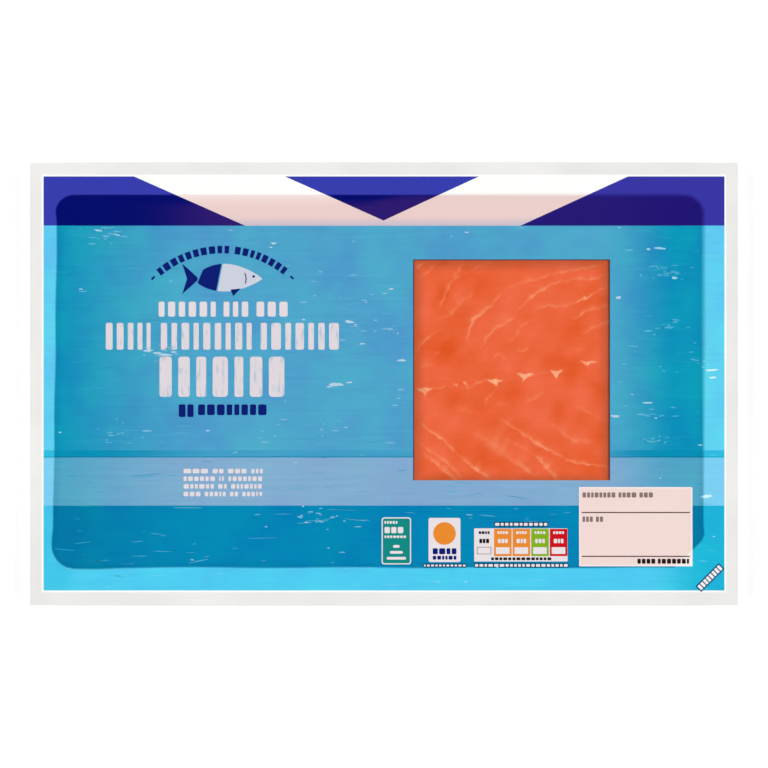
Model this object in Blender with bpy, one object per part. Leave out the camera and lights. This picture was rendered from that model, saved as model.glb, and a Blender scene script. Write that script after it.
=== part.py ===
"""A flat pack of sliced smoked salmon: a formed tray, the salmon in it and a printed film sealed on top.

Metres, +Z up. The tray's floor lies on the ground plane, and the top edge of the print is towards +Y.
The origin is on the ground, under the middle of the pack's outline.
"""

import math

import bmesh
import bpy

MM = 0.001

# The pack's outline, cut from the web after sealing.
PACK_LENGTH = 264.0 * MM
PACK_WIDTH = 165.0 * MM
PACK_CORNER = 0.8 * MM

# The pocket formed in the tray. It sits a little towards the left end and the top edge, so that
# the corner at the lower right, where the film is peeled, has the widest flange.
POCKET_LENGTH = 241.7 * MM
POCKET_WIDTH = 137.8 * MM
POCKET_X = -1.9 * MM
POCKET_Y = 1.3 * MM
POCKET_CORNER = 7.5 * MM
PEEL_LEG = 11.0 * MM  # the peel corner is cut across at 45 degrees, this far along each side
PEEL_ROUND = 5.0 * MM

# The tray's section.
WEB = 0.45 * MM
FLANGE_TOP = 9.6 * MM
DRAFT = math.radians(8.0)
RIM_RADIUS = 1.3 * MM
FLOOR_RADIUS = 2.6 * MM

# Touching pieces stand this far apart.
GAP = 0.3 * MM

# The sliced salmon: a low stack with thin, uneven edges.
STACK_LENGTH = 209.0 * MM
STACK_WIDTH = 128.0 * MM
STACK_X = 2.0 * MM
STACK_Y = 1.3 * MM
STACK_HEIGHT = 7.1 * MM
STACK_EDGE = 3.4 * MM  # thickness just inside the stack's outline
STACK_TAPER = 24.0 * MM  # how far in from its outline the stack reaches its full thickness

# The lidding film.
FILM = 0.25 * MM
FILM_FALL = 13.0 * MM  # how far in from the rim the film comes down to the salmon

CORNER_POINTS = 7
ARC_STEPS = 4

TRAY_WHITE = (0.86, 0.86, 0.85)
FILM_BLUE = (0.03, 0.32, 0.52)
SALMON_ORANGE = (0.78, 0.13, 0.05)


def clear_scene():
    for item in list(bpy.data.objects):
        bpy.data.objects.remove(item, do_unlink=True)


def make_material(name, colour, roughness):
    material = bpy.data.materials.new(name)
    material.use_nodes = True
    shader = material.node_tree.nodes["Principled BSDF"]
    shader.inputs["Base Color"].default_value = (*colour, 1.0)
    shader.inputs["Roughness"].default_value = roughness
    shader.inputs["Metallic"].default_value = 0.0
    return material


def add_object(name, mesh_builder, material):
    """Make an object of a finished bmesh, with its faces turned out and its round parts smooth."""
    bmesh.ops.recalc_face_normals(mesh_builder, faces=mesh_builder.faces)
    mesh = bpy.data.meshes.new(name)
    mesh_builder.to_mesh(mesh)
    mesh_builder.free()
    mesh.shade_smooth()
    mesh.set_sharp_from_angle(angle=math.radians(35.0))
    mesh.materials.append(material)
    item = bpy.data.objects.new(name, mesh)
    bpy.context.scene.collection.objects.link(item)
    return item


def arc(centre_x, centre_y, radius, start, end, points):
    """Points on an arc, from one angle in degrees to another."""
    turns = [math.radians(start + (end - start) * i / (points - 1)) for i in range(points)]
    return [(centre_x + radius * math.cos(a), centre_y + radius * math.sin(a)) for a in turns]


def pack_outline():
    """The outer edge, anticlockwise from the right side, with as many points as pocket_outline."""
    x = PACK_LENGTH / 2 - PACK_CORNER
    y = PACK_WIDTH / 2 - PACK_CORNER
    corners = ((x, y, 0), (-x, y, 90), (-x, -y, 180), (x, -y, 270))
    points = []
    for centre_x, centre_y, start in corners:
        points += arc(centre_x, centre_y, PACK_CORNER, start, start + 90, CORNER_POINTS)
    return points


def pocket_outline(inset):
    """The pocket's outline moved inwards, with three round corners and the cut peel corner."""
    right = POCKET_X + POCKET_LENGTH / 2 - inset
    left = POCKET_X - POCKET_LENGTH / 2 + inset
    top = POCKET_Y + POCKET_WIDTH / 2 - inset
    bottom = POCKET_Y - POCKET_WIDTH / 2 + inset
    round_corner = POCKET_CORNER - inset
    points = arc(right - round_corner, top - round_corner, round_corner, 0, 90, CORNER_POINTS)
    points += arc(left + round_corner, top - round_corner, round_corner, 90, 180, CORNER_POINTS)
    points += arc(left + round_corner, bottom + round_corner, round_corner, 180, 270, CORNER_POINTS)
    # The cut corner is an arc from the bottom to the slanting side, and one from there to the right side.
    small = PEEL_ROUND - inset
    slant = peel_line() - inset - small
    first_y = bottom + small
    second_x = right - small
    half = (CORNER_POINTS + 1) // 2
    points += arc(slant * math.sqrt(2) + first_y, first_y, small, 270, 315, half)
    points += arc(second_x, second_x - slant * math.sqrt(2), small, 315, 360, CORNER_POINTS - half)
    return points


def peel_line():
    """Distance from the origin to the peel corner's slanting side, along the way to that corner."""
    right = POCKET_X + POCKET_LENGTH / 2
    bottom = POCKET_Y - POCKET_WIDTH / 2
    return (right - PEEL_LEG - bottom) / math.sqrt(2)


def depth_in_pocket(x, y):
    """How far a point lies inside the pocket's outline; below zero on the flange."""
    over_x = abs(x - POCKET_X) - POCKET_LENGTH / 2 + POCKET_CORNER
    over_y = abs(y - POCKET_Y) - POCKET_WIDTH / 2 + POCKET_CORNER
    outside = math.hypot(max(over_x, 0.0), max(over_y, 0.0))
    from_sides = POCKET_CORNER - outside - min(max(over_x, over_y), 0.0)
    return min(from_sides, peel_line() - (x - y) / math.sqrt(2))


def wall_profile(below):
    """(inset, height) pairs from the flange over the rim, down the wall and round to the floor.

    below is 0 for the tray's upper surface and WEB for its under surface, so the two stay parallel.
    """
    rim = RIM_RADIUS - below
    foot = FLOOR_RADIUS + below
    rim_height = FLANGE_TOP - RIM_RADIUS
    foot_height = WEB + FLOOR_RADIUS
    # The two arcs share a tangent that leans inwards by the draft angle.
    reach = (rim_height - foot_height) * math.tan(DRAFT)
    foot_inset = reach + (RIM_RADIUS + FLOOR_RADIUS) / math.cos(DRAFT) - RIM_RADIUS
    steps = [DRAFT + (math.pi / 2 - DRAFT) * i / ARC_STEPS for i in range(ARC_STEPS + 1)]
    points = [(-RIM_RADIUS + rim * math.cos(a), rim_height + rim * math.sin(a)) for a in reversed(steps)]
    points += [(foot_inset - foot * math.cos(a), foot_height - foot * math.sin(a)) for a in steps]
    return points


def add_ring(builder, outline, height):
    return [builder.verts.new((x, y, height)) for x, y in outline]


def bridge(builder, first, second):
    count = len(first)
    for i in range(count):
        j = (i + 1) % count
        builder.faces.new((first[i], first[j], second[j], second[i]))


def add_side(builder, outer, below):
    """One surface of the tray: the flange, the pocket's wall and its floor."""
    previous = outer
    for inset, height in wall_profile(below):
        ring = add_ring(builder, pocket_outline(inset), height)
        bridge(builder, previous, ring)
        previous = ring
    builder.faces.new(previous)


def make_tray():
    """The lower web: flat flange, drafted pocket and flat floor, open at the top."""
    builder = bmesh.new()
    upper = add_ring(builder, pack_outline(), FLANGE_TOP)
    lower = add_ring(builder, pack_outline(), FLANGE_TOP - WEB)
    bridge(builder, upper, lower)
    add_side(builder, upper, 0.0)
    add_side(builder, lower, WEB)
    material = make_material("milky_polypropylene_web", TRAY_WHITE, 0.42)
    return add_object("tray", builder, material)


def unevenness(x, y):
    """Low waves in the top slice, between about -1 and 1."""
    along = math.sin(x / (31.0 * MM) + 0.6) * math.cos(y / (23.0 * MM) - 0.4)
    across = math.sin((x * 0.6 - y) / (17.0 * MM) + 1.9)
    return 0.62 * along + 0.38 * across


def stack_edge(turn, inset):
    """A point of the stack's outline: a rounded oblong, wavy where slices end, moved inwards."""
    wave = 1.6 * math.sin(3 * turn + 0.5) + 1.1 * math.sin(5 * turn + 2.1) + 0.7 * math.sin(8 * turn)
    half_x = STACK_LENGTH / 2 - inset + wave * MM
    half_y = STACK_WIDTH / 2 - inset + 0.6 * wave * MM
    cosine = math.cos(turn)
    sine = math.sin(turn)
    squareness = (abs(cosine) ** 5 + abs(sine) ** 5) ** (-1 / 5)
    return (STACK_X + half_x * squareness * cosine, STACK_Y + half_y * squareness * sine)


def stack_height(x, y, inset):
    """Height above the tray's floor of the stack's top at a point this far inside its outline."""
    rise = min(inset / STACK_TAPER, 1.0)
    rise = rise * rise * (3 - 2 * rise)
    return STACK_EDGE + (STACK_HEIGHT - STACK_EDGE) * rise + 0.35 * MM * rise * unevenness(x, y)


def make_salmon():
    """The slices as one low stack, rounded at its edge and lying just above the tray's floor."""
    builder = bmesh.new()
    bottom = WEB + GAP
    steps = 60
    turns = [2 * math.pi * (i + 0.5) / steps for i in range(steps)]
    edge = STACK_EDGE / 2
    rounding = [math.radians(a) for a in (-90, -45, 0, 45)]
    previous = None
    for angle in rounding:
        inset = edge * (1 - math.cos(angle))
        height = bottom + edge * (1 + math.sin(angle))
        ring = add_ring(builder, [stack_edge(a, inset) for a in turns], height)
        if previous:
            bridge(builder, previous, ring)
        else:
            builder.faces.new(ring)
        previous = ring
    # Rings across the top, close together where it slopes and wider apart in the flat middle.
    for inset in (1.7, 6.0, 12.0, 18.0, 24.0, 33.0, 42.0, 51.0):
        points = [stack_edge(a, inset * MM) for a in turns]
        ring = [
            builder.verts.new((x, y, bottom + stack_height(x, y, (inset - 1.7) * MM))) for x, y in points
        ]
        bridge(builder, previous, ring)
        previous = ring
    builder.faces.new(previous)
    material = make_material("cured_salmon_flesh", SALMON_ORANGE, 0.35)
    return add_object("salmon", builder, material)


def film_height(x, y):
    """Height of the film's under surface: flat on the flange, lying on the salmon in the pocket."""
    sealed = FLANGE_TOP + GAP
    resting = WEB + GAP + STACK_HEIGHT + GAP + 0.4 * MM
    fall = min(max(depth_in_pocket(x, y) / FILM_FALL, 0.0), 1.0)
    fall = fall * fall * (3 - 2 * fall)
    return sealed + (resting - sealed) * fall + 0.35 * MM * fall * unevenness(x, y)


def film_lines(length, middle, pocket, coarse):
    """Places of the film's grid lines: close over the slope inside the rim, wide elsewhere."""
    low = middle - pocket / 2
    high = middle + pocket / 2
    near = [FILM_FALL * i / 5 for i in range(6)]
    inner = high - low - 2 * FILM_FALL
    middle_lines = [low + FILM_FALL + inner * i / coarse for i in range(1, coarse)]
    rising = [-length / 2] + [low + step for step in near]
    falling = [high - step for step in reversed(near)] + [length / 2]
    return rising + middle_lines + falling


def sheet_edge(rows):
    """The outer points of a grid, once round."""
    right = [row[-1] for row in rows[1:]]
    top = rows[-1][-2::-1]
    left = [row[0] for row in rows[-2:0:-1]]
    return rows[0] + right + top + left


def make_film():
    """The lidding film: one sheet, sealed round the flange and drawn down onto the salmon."""
    builder = bmesh.new()
    across = film_lines(PACK_LENGTH, POCKET_X, POCKET_LENGTH, 14)
    up = film_lines(PACK_WIDTH, POCKET_Y, POCKET_WIDTH, 8)
    layers = []
    for thickness in (0.0, FILM):
        rows = [[builder.verts.new((x, y, film_height(x, y) + thickness)) for x in across] for y in up]
        layers.append(rows)
        for low_row, high_row in zip(rows, rows[1:]):
            for i in range(len(across) - 1):
                builder.faces.new((low_row[i], low_row[i + 1], high_row[i + 1], high_row[i]))
    bridge(builder, sheet_edge(layers[0]), sheet_edge(layers[1]))
    material = make_material("printed_laminate_film", FILM_BLUE, 0.22)
    return add_object("lidding_film", builder, material)


def main():
    clear_scene()
    make_tray()
    make_salmon()
    make_film()


main()
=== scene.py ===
# %% [markdown]
# # A flat pack of sliced smoked salmon
#
# The real pack has three parts. A shallow tray is formed from a white plastic web, slices of cured salmon
# lie in it as one low stack, and a printed film is sealed all round the tray's flange. A machine pulls out
# the air, so the film lies on the fish. All the colour is print on the inside of that film, apart from
# one clear window that the fish shows through.
#
# The three solids of the frame fix every size. This script builds the finished surfaces in the same place:
# tray, fish, layers of ink and, last, the clear film that covers them all. Lengths are in millimetres
# until a mesh is made, because that is how a pack is drawn.

# %% Load the frame
import math
import random

import bmesh
import bpy
import numpy as np
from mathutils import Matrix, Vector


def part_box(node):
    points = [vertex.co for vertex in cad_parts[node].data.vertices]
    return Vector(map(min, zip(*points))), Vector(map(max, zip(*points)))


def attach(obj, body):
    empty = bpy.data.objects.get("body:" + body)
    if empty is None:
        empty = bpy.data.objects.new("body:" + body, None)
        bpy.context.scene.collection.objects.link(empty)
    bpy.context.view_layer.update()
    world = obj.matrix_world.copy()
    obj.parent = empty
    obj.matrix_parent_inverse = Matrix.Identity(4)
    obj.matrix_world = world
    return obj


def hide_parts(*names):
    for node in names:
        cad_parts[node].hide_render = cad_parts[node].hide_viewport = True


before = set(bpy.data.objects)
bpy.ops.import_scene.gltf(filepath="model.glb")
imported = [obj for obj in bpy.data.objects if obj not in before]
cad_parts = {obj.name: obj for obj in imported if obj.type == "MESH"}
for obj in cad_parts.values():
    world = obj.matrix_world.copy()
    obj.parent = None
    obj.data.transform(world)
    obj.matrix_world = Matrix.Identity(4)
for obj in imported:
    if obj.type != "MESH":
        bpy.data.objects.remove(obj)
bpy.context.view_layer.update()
MM = 0.001

# %% [markdown]
# ## Two small tools
#
# Colours are written the way a designer gives them, as sRGB hex. Blender's sockets want linear light, so
# one function turns one into the other. A second function adds a shader node with its settings and its
# links in one call, which keeps each material readable from its texture to its shader.

# %% Colour and node tools
def linear(colour):
    """An sRGB hex colour as linear red, green, blue and an alpha of 1."""
    parts = [int(colour[i : i + 2], 16) / 255 for i in (1, 3, 5)]
    lit = [part / 12.92 if part <= 0.04045 else ((part + 0.055) / 1.055) ** 2.4 for part in parts]
    return (*lit, 1.0)


def node(tree, kind, inputs=None, **settings):
    """Add a shader node, set its options, and link or set each named or numbered input."""
    made = tree.nodes.new("ShaderNode" + kind)
    for name, value in settings.items():
        setattr(made, name, value)
    for key, value in (inputs or {}).items():
        socket = made.inputs[key]
        if isinstance(value, bpy.types.NodeSocket):
            tree.links.new(value, socket)
        else:
            socket.default_value = value
    return made


def new_material(name, **values):
    """A material with its Principled shader; values are plain socket values, such as roughness."""
    material = bpy.data.materials.new(name)
    material.use_nodes = True
    shader = material.node_tree.nodes["Principled BSDF"]
    for key, value in values.items():
        shader.inputs[key.replace("_", " ").title().replace("Ior", "IOR")].default_value = value
    shader.inputs["Subsurface Radius"].default_value = (1.0, 1.0, 1.0)
    return material, material.node_tree, shader


print("white in linear light", linear("#ffffff"))

# %% [markdown]
# ## The pocket's outline
#
# The tray's pocket is a rectangle with round corners. At the lower right its corner is cut across, which
# leaves a wide piece of flange to start peeling from. Nearly everything depends on how far a point lies
# inside that outline: the film starts to fall there, and the print is painted darker there, as shade of the
# hollow, once no white flange is right behind it. A signed distance gives all of this from one formula, so
# no outline is drawn twice.

# %% Distance inside the pocket
POCKET_LENGTH = 241.7
POCKET_WIDTH = 137.8
POCKET_X = -1.9
POCKET_Y = 1.3
POCKET_CORNER = 7.5
PEEL_LEG = 11.0
PEEL_ROUND = 5.0
POCKET_RIGHT = POCKET_X + POCKET_LENGTH / 2
POCKET_BOTTOM = POCKET_Y - POCKET_WIDTH / 2
PEEL_LINE = (POCKET_RIGHT - PEEL_LEG - POCKET_BOTTOM) / math.sqrt(2)


def depth_in_pocket(x, y):
    """How far points lie inside the pocket's outline, in mm; below zero on the flange."""
    over_x = np.abs(x - POCKET_X) - POCKET_LENGTH / 2 + POCKET_CORNER
    over_y = np.abs(y - POCKET_Y) - POCKET_WIDTH / 2 + POCKET_CORNER
    outside = np.hypot(np.maximum(over_x, 0), np.maximum(over_y, 0))
    from_sides = POCKET_CORNER - outside - np.minimum(np.maximum(over_x, over_y), 0)
    return np.minimum(from_sides, PEEL_LINE - (x - y) / math.sqrt(2))


def ease(share):
    """A smooth step from 0 to 1."""
    share = np.clip(share, 0.0, 1.0)
    return share * share * (3 - 2 * share)


print("the middle lies", float(depth_in_pocket(0.0, 0.0)), "mm inside the pocket")

# %% [markdown]
# ## The height of the lid
#
# Sealed film is flat on the flange. Inside the rim it comes down onto the fish and follows its low waves.
# This one height field carries the print, the film and the top of the fish, so no layer can cut through
# another. The print is read from the field on a square grid, straight between the grid's points: two
# layers cut along the same grid lines then stay exactly parallel.

# %% Lid height
film_low, film_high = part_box("lidding_film")
tray_low, tray_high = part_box("tray")
salmon_low, salmon_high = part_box("salmon")
FILM_SOLID = 0.25
SEAL = film_high.z / MM - FILM_SOLID
DROP = 1.35
FALL = 13.0
WAVE = 0.3
GRID = 2.0


def unevenness(x, y):
    """Low waves in the top slice, between about -1 and 1."""
    along = np.sin(x / 31.0 + 0.6) * np.cos(y / 23.0 - 0.4)
    across = np.sin((x * 0.6 - y) / 17.0 + 1.9)
    return 0.62 * along + 0.38 * across


def lid_height(x, y):
    """Height of the film's under surface, in mm."""
    fall = ease(depth_in_pocket(x, y) / FALL)
    return SEAL - DROP * fall + WAVE * fall * unevenness(x, y)


def lid_on_grid(x, y):
    """The same height, read straight between the points of the grid."""
    column = np.floor(x / GRID)
    row = np.floor(y / GRID)
    across = x / GRID - column
    up = y / GRID - row
    left = column * GRID
    right = (column + 1) * GRID
    low = lid_height(left, row * GRID) * (1 - across) + lid_height(right, row * GRID) * across
    row = row + 1
    high = lid_height(left, row * GRID) * (1 - across) + lid_height(right, row * GRID) * across
    return low * (1 - up) + high * up


print("lid at the flange", round(SEAL, 2), "and over the fish", round(float(lid_height(0.0, 0.0)), 2), "mm")

# %% [markdown]
# ## Turning points into pieces
#
# Every piece is finished in the same way: its faces are turned outwards, its round parts are shaded smooth
# with sharp edges kept, it takes its material and it rides on the pack's one body.

# %% Piece helper
def add_piece(name, builder, material):
    """Make an object of a bmesh in mm, in the pack's frame."""
    bmesh.ops.scale(builder, vec=(MM, MM, MM), verts=builder.verts)
    bmesh.ops.recalc_face_normals(builder, faces=builder.faces)
    mesh = bpy.data.meshes.new(name)
    builder.to_mesh(mesh)
    builder.free()
    mesh.shade_smooth()
    mesh.set_sharp_from_angle(angle=math.radians(38.0))
    mesh.materials.append(material)
    piece = bpy.data.objects.new(name, mesh)
    bpy.context.scene.collection.objects.link(piece)
    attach(piece, "root")
    return piece


def store(piece, name, values):
    """Keep one number for each vertex, which a material reads with an Attribute node."""
    layer = piece.data.attributes.new(name, "FLOAT", "POINT")
    layer.data.foreach_set("value", np.asarray(values, dtype=np.float32))


def places(piece):
    """The piece's vertices in mm, as an array of x, y, z."""
    flat = np.empty(len(piece.data.vertices) * 3, dtype=np.float32)
    piece.data.vertices.foreach_get("co", flat)
    return flat.reshape(-1, 3).astype(float) / MM


print("ready to build")

# %% [markdown]
# ## The tray: thermoformed polypropylene web
#
# The web is a milky white sheet about half a millimetre thick, drawn into a heated mould. It is stiff,
# satin and slightly cloudy, so light spreads a little inside it. Forming leaves soft radii, a drafted wall
# and a surface that is never quite even. The tray could be a bevelled box, but the real one is a profile
# carried round an outline, so that is how it is made here: rings of points, each the outline moved inwards
# and down, joined by strips of faces.

# %% Tray outline and profile
WEB = 0.45
FLANGE_TOP = SEAL - 0.11
DRAFT = math.radians(8.0)
RIM_RADIUS = 1.3
FLOOR_RADIUS = 2.6
PACK_CORNER = 0.8
EDGE_ROUND = 0.12
CORNER_POINTS = 13
ARC_STEPS = 8
pack_half_x = tray_high.x / MM
pack_half_y = tray_high.y / MM


def arc(centre_x, centre_y, radius, start, end, points):
    """Points on an arc, from one angle in degrees to another."""
    turns = [math.radians(start + (end - start) * i / (points - 1)) for i in range(points)]
    return [(centre_x + radius * math.cos(a), centre_y + radius * math.sin(a)) for a in turns]


def pack_outline(inset):
    """The cut outer edge, with as many points as pocket_outline."""
    x = pack_half_x - PACK_CORNER
    y = pack_half_y - PACK_CORNER
    points = []
    for centre_x, centre_y, start in ((x, y, 0), (-x, y, 90), (-x, -y, 180), (x, -y, 270)):
        points += arc(centre_x, centre_y, PACK_CORNER - inset, start, start + 90, CORNER_POINTS)
    return points


def pocket_outline(inset):
    """The pocket's outline moved inwards, with three round corners and the cut peel corner."""
    right = POCKET_RIGHT - inset
    left = POCKET_X - POCKET_LENGTH / 2 + inset
    top = POCKET_Y + POCKET_WIDTH / 2 - inset
    bottom = POCKET_BOTTOM + inset
    corner = POCKET_CORNER - inset
    points = arc(right - corner, top - corner, corner, 0, 90, CORNER_POINTS)
    points += arc(left + corner, top - corner, corner, 90, 180, CORNER_POINTS)
    points += arc(left + corner, bottom + corner, corner, 180, 270, CORNER_POINTS)
    small = PEEL_ROUND - inset
    slant = PEEL_LINE - inset - small
    half = (CORNER_POINTS + 1) // 2
    points += arc(slant * math.sqrt(2) + bottom + small, bottom + small, small, 270, 315, half)
    points += arc(right - small, right - small - slant * math.sqrt(2), small, 315, 360, CORNER_POINTS - half)
    return points


def wall_profile(below):
    """(inset, height) pairs over the rim, down the wall and round to the floor."""
    rim = RIM_RADIUS - below
    foot = FLOOR_RADIUS + below
    rim_height = FLANGE_TOP - RIM_RADIUS
    foot_height = WEB + FLOOR_RADIUS
    reach = (rim_height - foot_height) * math.tan(DRAFT)
    foot_inset = reach + (RIM_RADIUS + FLOOR_RADIUS) / math.cos(DRAFT) - RIM_RADIUS
    steps = [DRAFT + (math.pi / 2 - DRAFT) * i / ARC_STEPS for i in range(ARC_STEPS + 1)]
    points = [(-RIM_RADIUS + rim * math.cos(a), rim_height + rim * math.sin(a)) for a in reversed(steps)]
    points += [(foot_inset - foot * math.cos(a), foot_height - foot * math.sin(a)) for a in steps]
    return points


print("the wall is", round(wall_profile(0.0)[-1][0], 2), "mm wide seen from above")

# %% [markdown]
# The cut edge of the web isn't razor sharp: the die leaves a tiny roll on both sides. Three extra rings of
# points give it that roll, and it catches a fine line of light round the pack.

# %% Tray mesh
def ring(builder, outline, height):
    return [builder.verts.new((x, y, height)) for x, y in outline]


def bridge(builder, first, second):
    """Join two rings of equal length with a strip of four-sided faces."""
    for i in range(len(first)):
        j = (i + 1) % len(first)
        builder.faces.new((first[i], first[j], second[j], second[i]))


def make_tray(material):
    builder = bmesh.new()
    loops = []
    for inset, height in reversed(wall_profile(0.0)):
        loops.append((pocket_outline(inset), height))
    loops.append((pack_outline(EDGE_ROUND), FLANGE_TOP))
    loops.append((pack_outline(0.0), FLANGE_TOP - EDGE_ROUND))
    loops.append((pack_outline(0.0), FLANGE_TOP - WEB + EDGE_ROUND))
    loops.append((pack_outline(EDGE_ROUND), FLANGE_TOP - WEB))
    for inset, height in wall_profile(WEB):
        loops.append((pocket_outline(inset), height))
    rings = [ring(builder, outline, height) for outline, height in loops]
    for first, second in zip(rings, rings[1:]):
        bridge(builder, first, second)
    builder.faces.new(rings[0])
    builder.faces.new(rings[-1])
    return add_piece("tray_formed_web", builder, material)


# %% [markdown]
# Milky polypropylene: off-white, satin, with a little light carried inside the sheet. Its gloss changes
# slowly over a few centimetres, where the mould was warmer or cooler, and a very faint orange-peel with
# waves about 2 mm wide comes from the mould's blasted face.

# %% Polypropylene web
def polypropylene_web():
    material, tree, shader = new_material("milky_polypropylene_web", ior=1.49, subsurface_weight=0.05,
                                          subsurface_scale=1.0 * MM)
    place = node(tree, "TexCoord").outputs["Object"]
    cloud = node(tree, "TexNoise", {"Vector": place, "Scale": 1 / (28 * MM), "Detail": 2.0})
    tone = node(tree, "ValToRGB", {"Fac": cloud.outputs["Fac"]})
    tone.color_ramp.elements[0].position = 0.35
    tone.color_ramp.elements[0].color = linear("#e9e8e6")
    tone.color_ramp.elements[1].position = 0.65
    tone.color_ramp.elements[1].color = linear("#efeeeb")
    tree.links.new(tone.outputs["Color"], shader.inputs["Base Color"])
    gloss = node(tree, "MapRange", {"Value": cloud.outputs["Fac"], "To Min": 0.36, "To Max": 0.5})
    tree.links.new(gloss.outputs["Result"], shader.inputs["Roughness"])
    peel = node(tree, "TexNoise", {"Vector": place, "Scale": 1 / (2.2 * MM), "Detail": 1.0})
    bump = node(tree, "Bump", {"Height": peel.outputs["Fac"], "Strength": 0.12, "Distance": 0.05 * MM})
    tree.links.new(bump.outputs["Normal"], shader.inputs["Normal"])
    return material


tray = make_tray(polypropylene_web())
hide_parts("tray")
print("tray faces", len(tray.data.polygons))

# %% [markdown]
# ## The salmon: shape of the stack
#
# Cured salmon is cut on a slant into thin slices and laid out as one low stack. Its outline wanders where
# slices end, its edges are thin, and its top follows the film that is pulled down on it. Only the part
# under the window is ever seen close up, so the mesh is a grid that is fine there and coarse under the
# print: that spends the faces where the eye can see them.

# %% Window and stack sizes
WINDOW_LEFT = 11.2
WINDOW_RIGHT = 83.9
WINDOW_TOP = 46.1
WINDOW_BOTTOM = -35.9
FINE = 0.36
COARSE = 4.0
stack_x = (salmon_high.x + salmon_low.x) / 2 / MM
stack_y = (salmon_high.y + salmon_low.y) / 2 / MM
stack_half_x = (salmon_high.x - salmon_low.x) / 2 / MM
stack_half_y = (salmon_high.y - salmon_low.y) / 2 / MM
STACK_EDGE = 3.2
UNDER_LID = 0.17


def graded_lines(low, high, fine_low, fine_high):
    """Places of grid lines: COARSE apart, and FINE apart between two values."""
    before = np.linspace(low, fine_low, max(2, round((fine_low - low) / COARSE)), endpoint=False)
    inside = np.linspace(fine_low, fine_high, round((fine_high - fine_low) / FINE), endpoint=False)
    after = np.linspace(fine_high, high, max(2, round((high - fine_high) / COARSE)))
    return np.concatenate([before, inside, after])


def pull_into_outline(x, y):
    """Move a rectangle's points into the stack's rounded, wandering outline; the middle stays."""
    turn = np.arctan2(y / stack_half_y, x / stack_half_x)
    wander = 1.0 - 0.012 * (1 + np.sin(3 * turn + 0.5)) - 0.008 * (1 + np.sin(7 * turn + 2.1))
    square = np.maximum(np.abs(x) / stack_half_x, np.abs(y) / stack_half_y)
    rounded = (np.abs(x / stack_half_x) ** 5 + np.abs(y / stack_half_y) ** 5) ** 0.2
    full = np.where(rounded > 0, square / np.maximum(rounded, 1e-9) * wander, 1.0)
    share = 1 + (full - 1) * ease((square - 0.8) / 0.2)
    return stack_x + x * share, stack_y + y * share, square


MARGIN = 1.5
fine_left = WINDOW_LEFT - MARGIN - stack_x
fine_right = WINDOW_RIGHT + MARGIN - stack_x
fine_bottom = WINDOW_BOTTOM - MARGIN - stack_y
fine_top = WINDOW_TOP + MARGIN - stack_y
columns = graded_lines(-stack_half_x, stack_half_x, fine_left, fine_right)
rows = graded_lines(-stack_half_y, stack_half_y, fine_bottom, fine_top)
grid_x, grid_y = np.meshgrid(columns, rows)
salmon_x, salmon_y, salmon_reach = pull_into_outline(grid_x, grid_y)
print("salmon grid", grid_x.shape, "points")

# %% [markdown]
# ## The salmon: lines of fat
#
# A salmon's flank is built of curved flakes, and thin sheets of pale fat lie between them. A slice cuts
# those sheets across, so they show as lines that sweep up and away on one side of the midline, and down
# and away on the other. Where they meet there is a row of small fat wedges. The lines could come from a
# noise texture, but noise never makes this chevron. Each line is drawn instead with a few points, a width
# and a strength, and the mesh stores how close each of its points is to a line.

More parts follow.
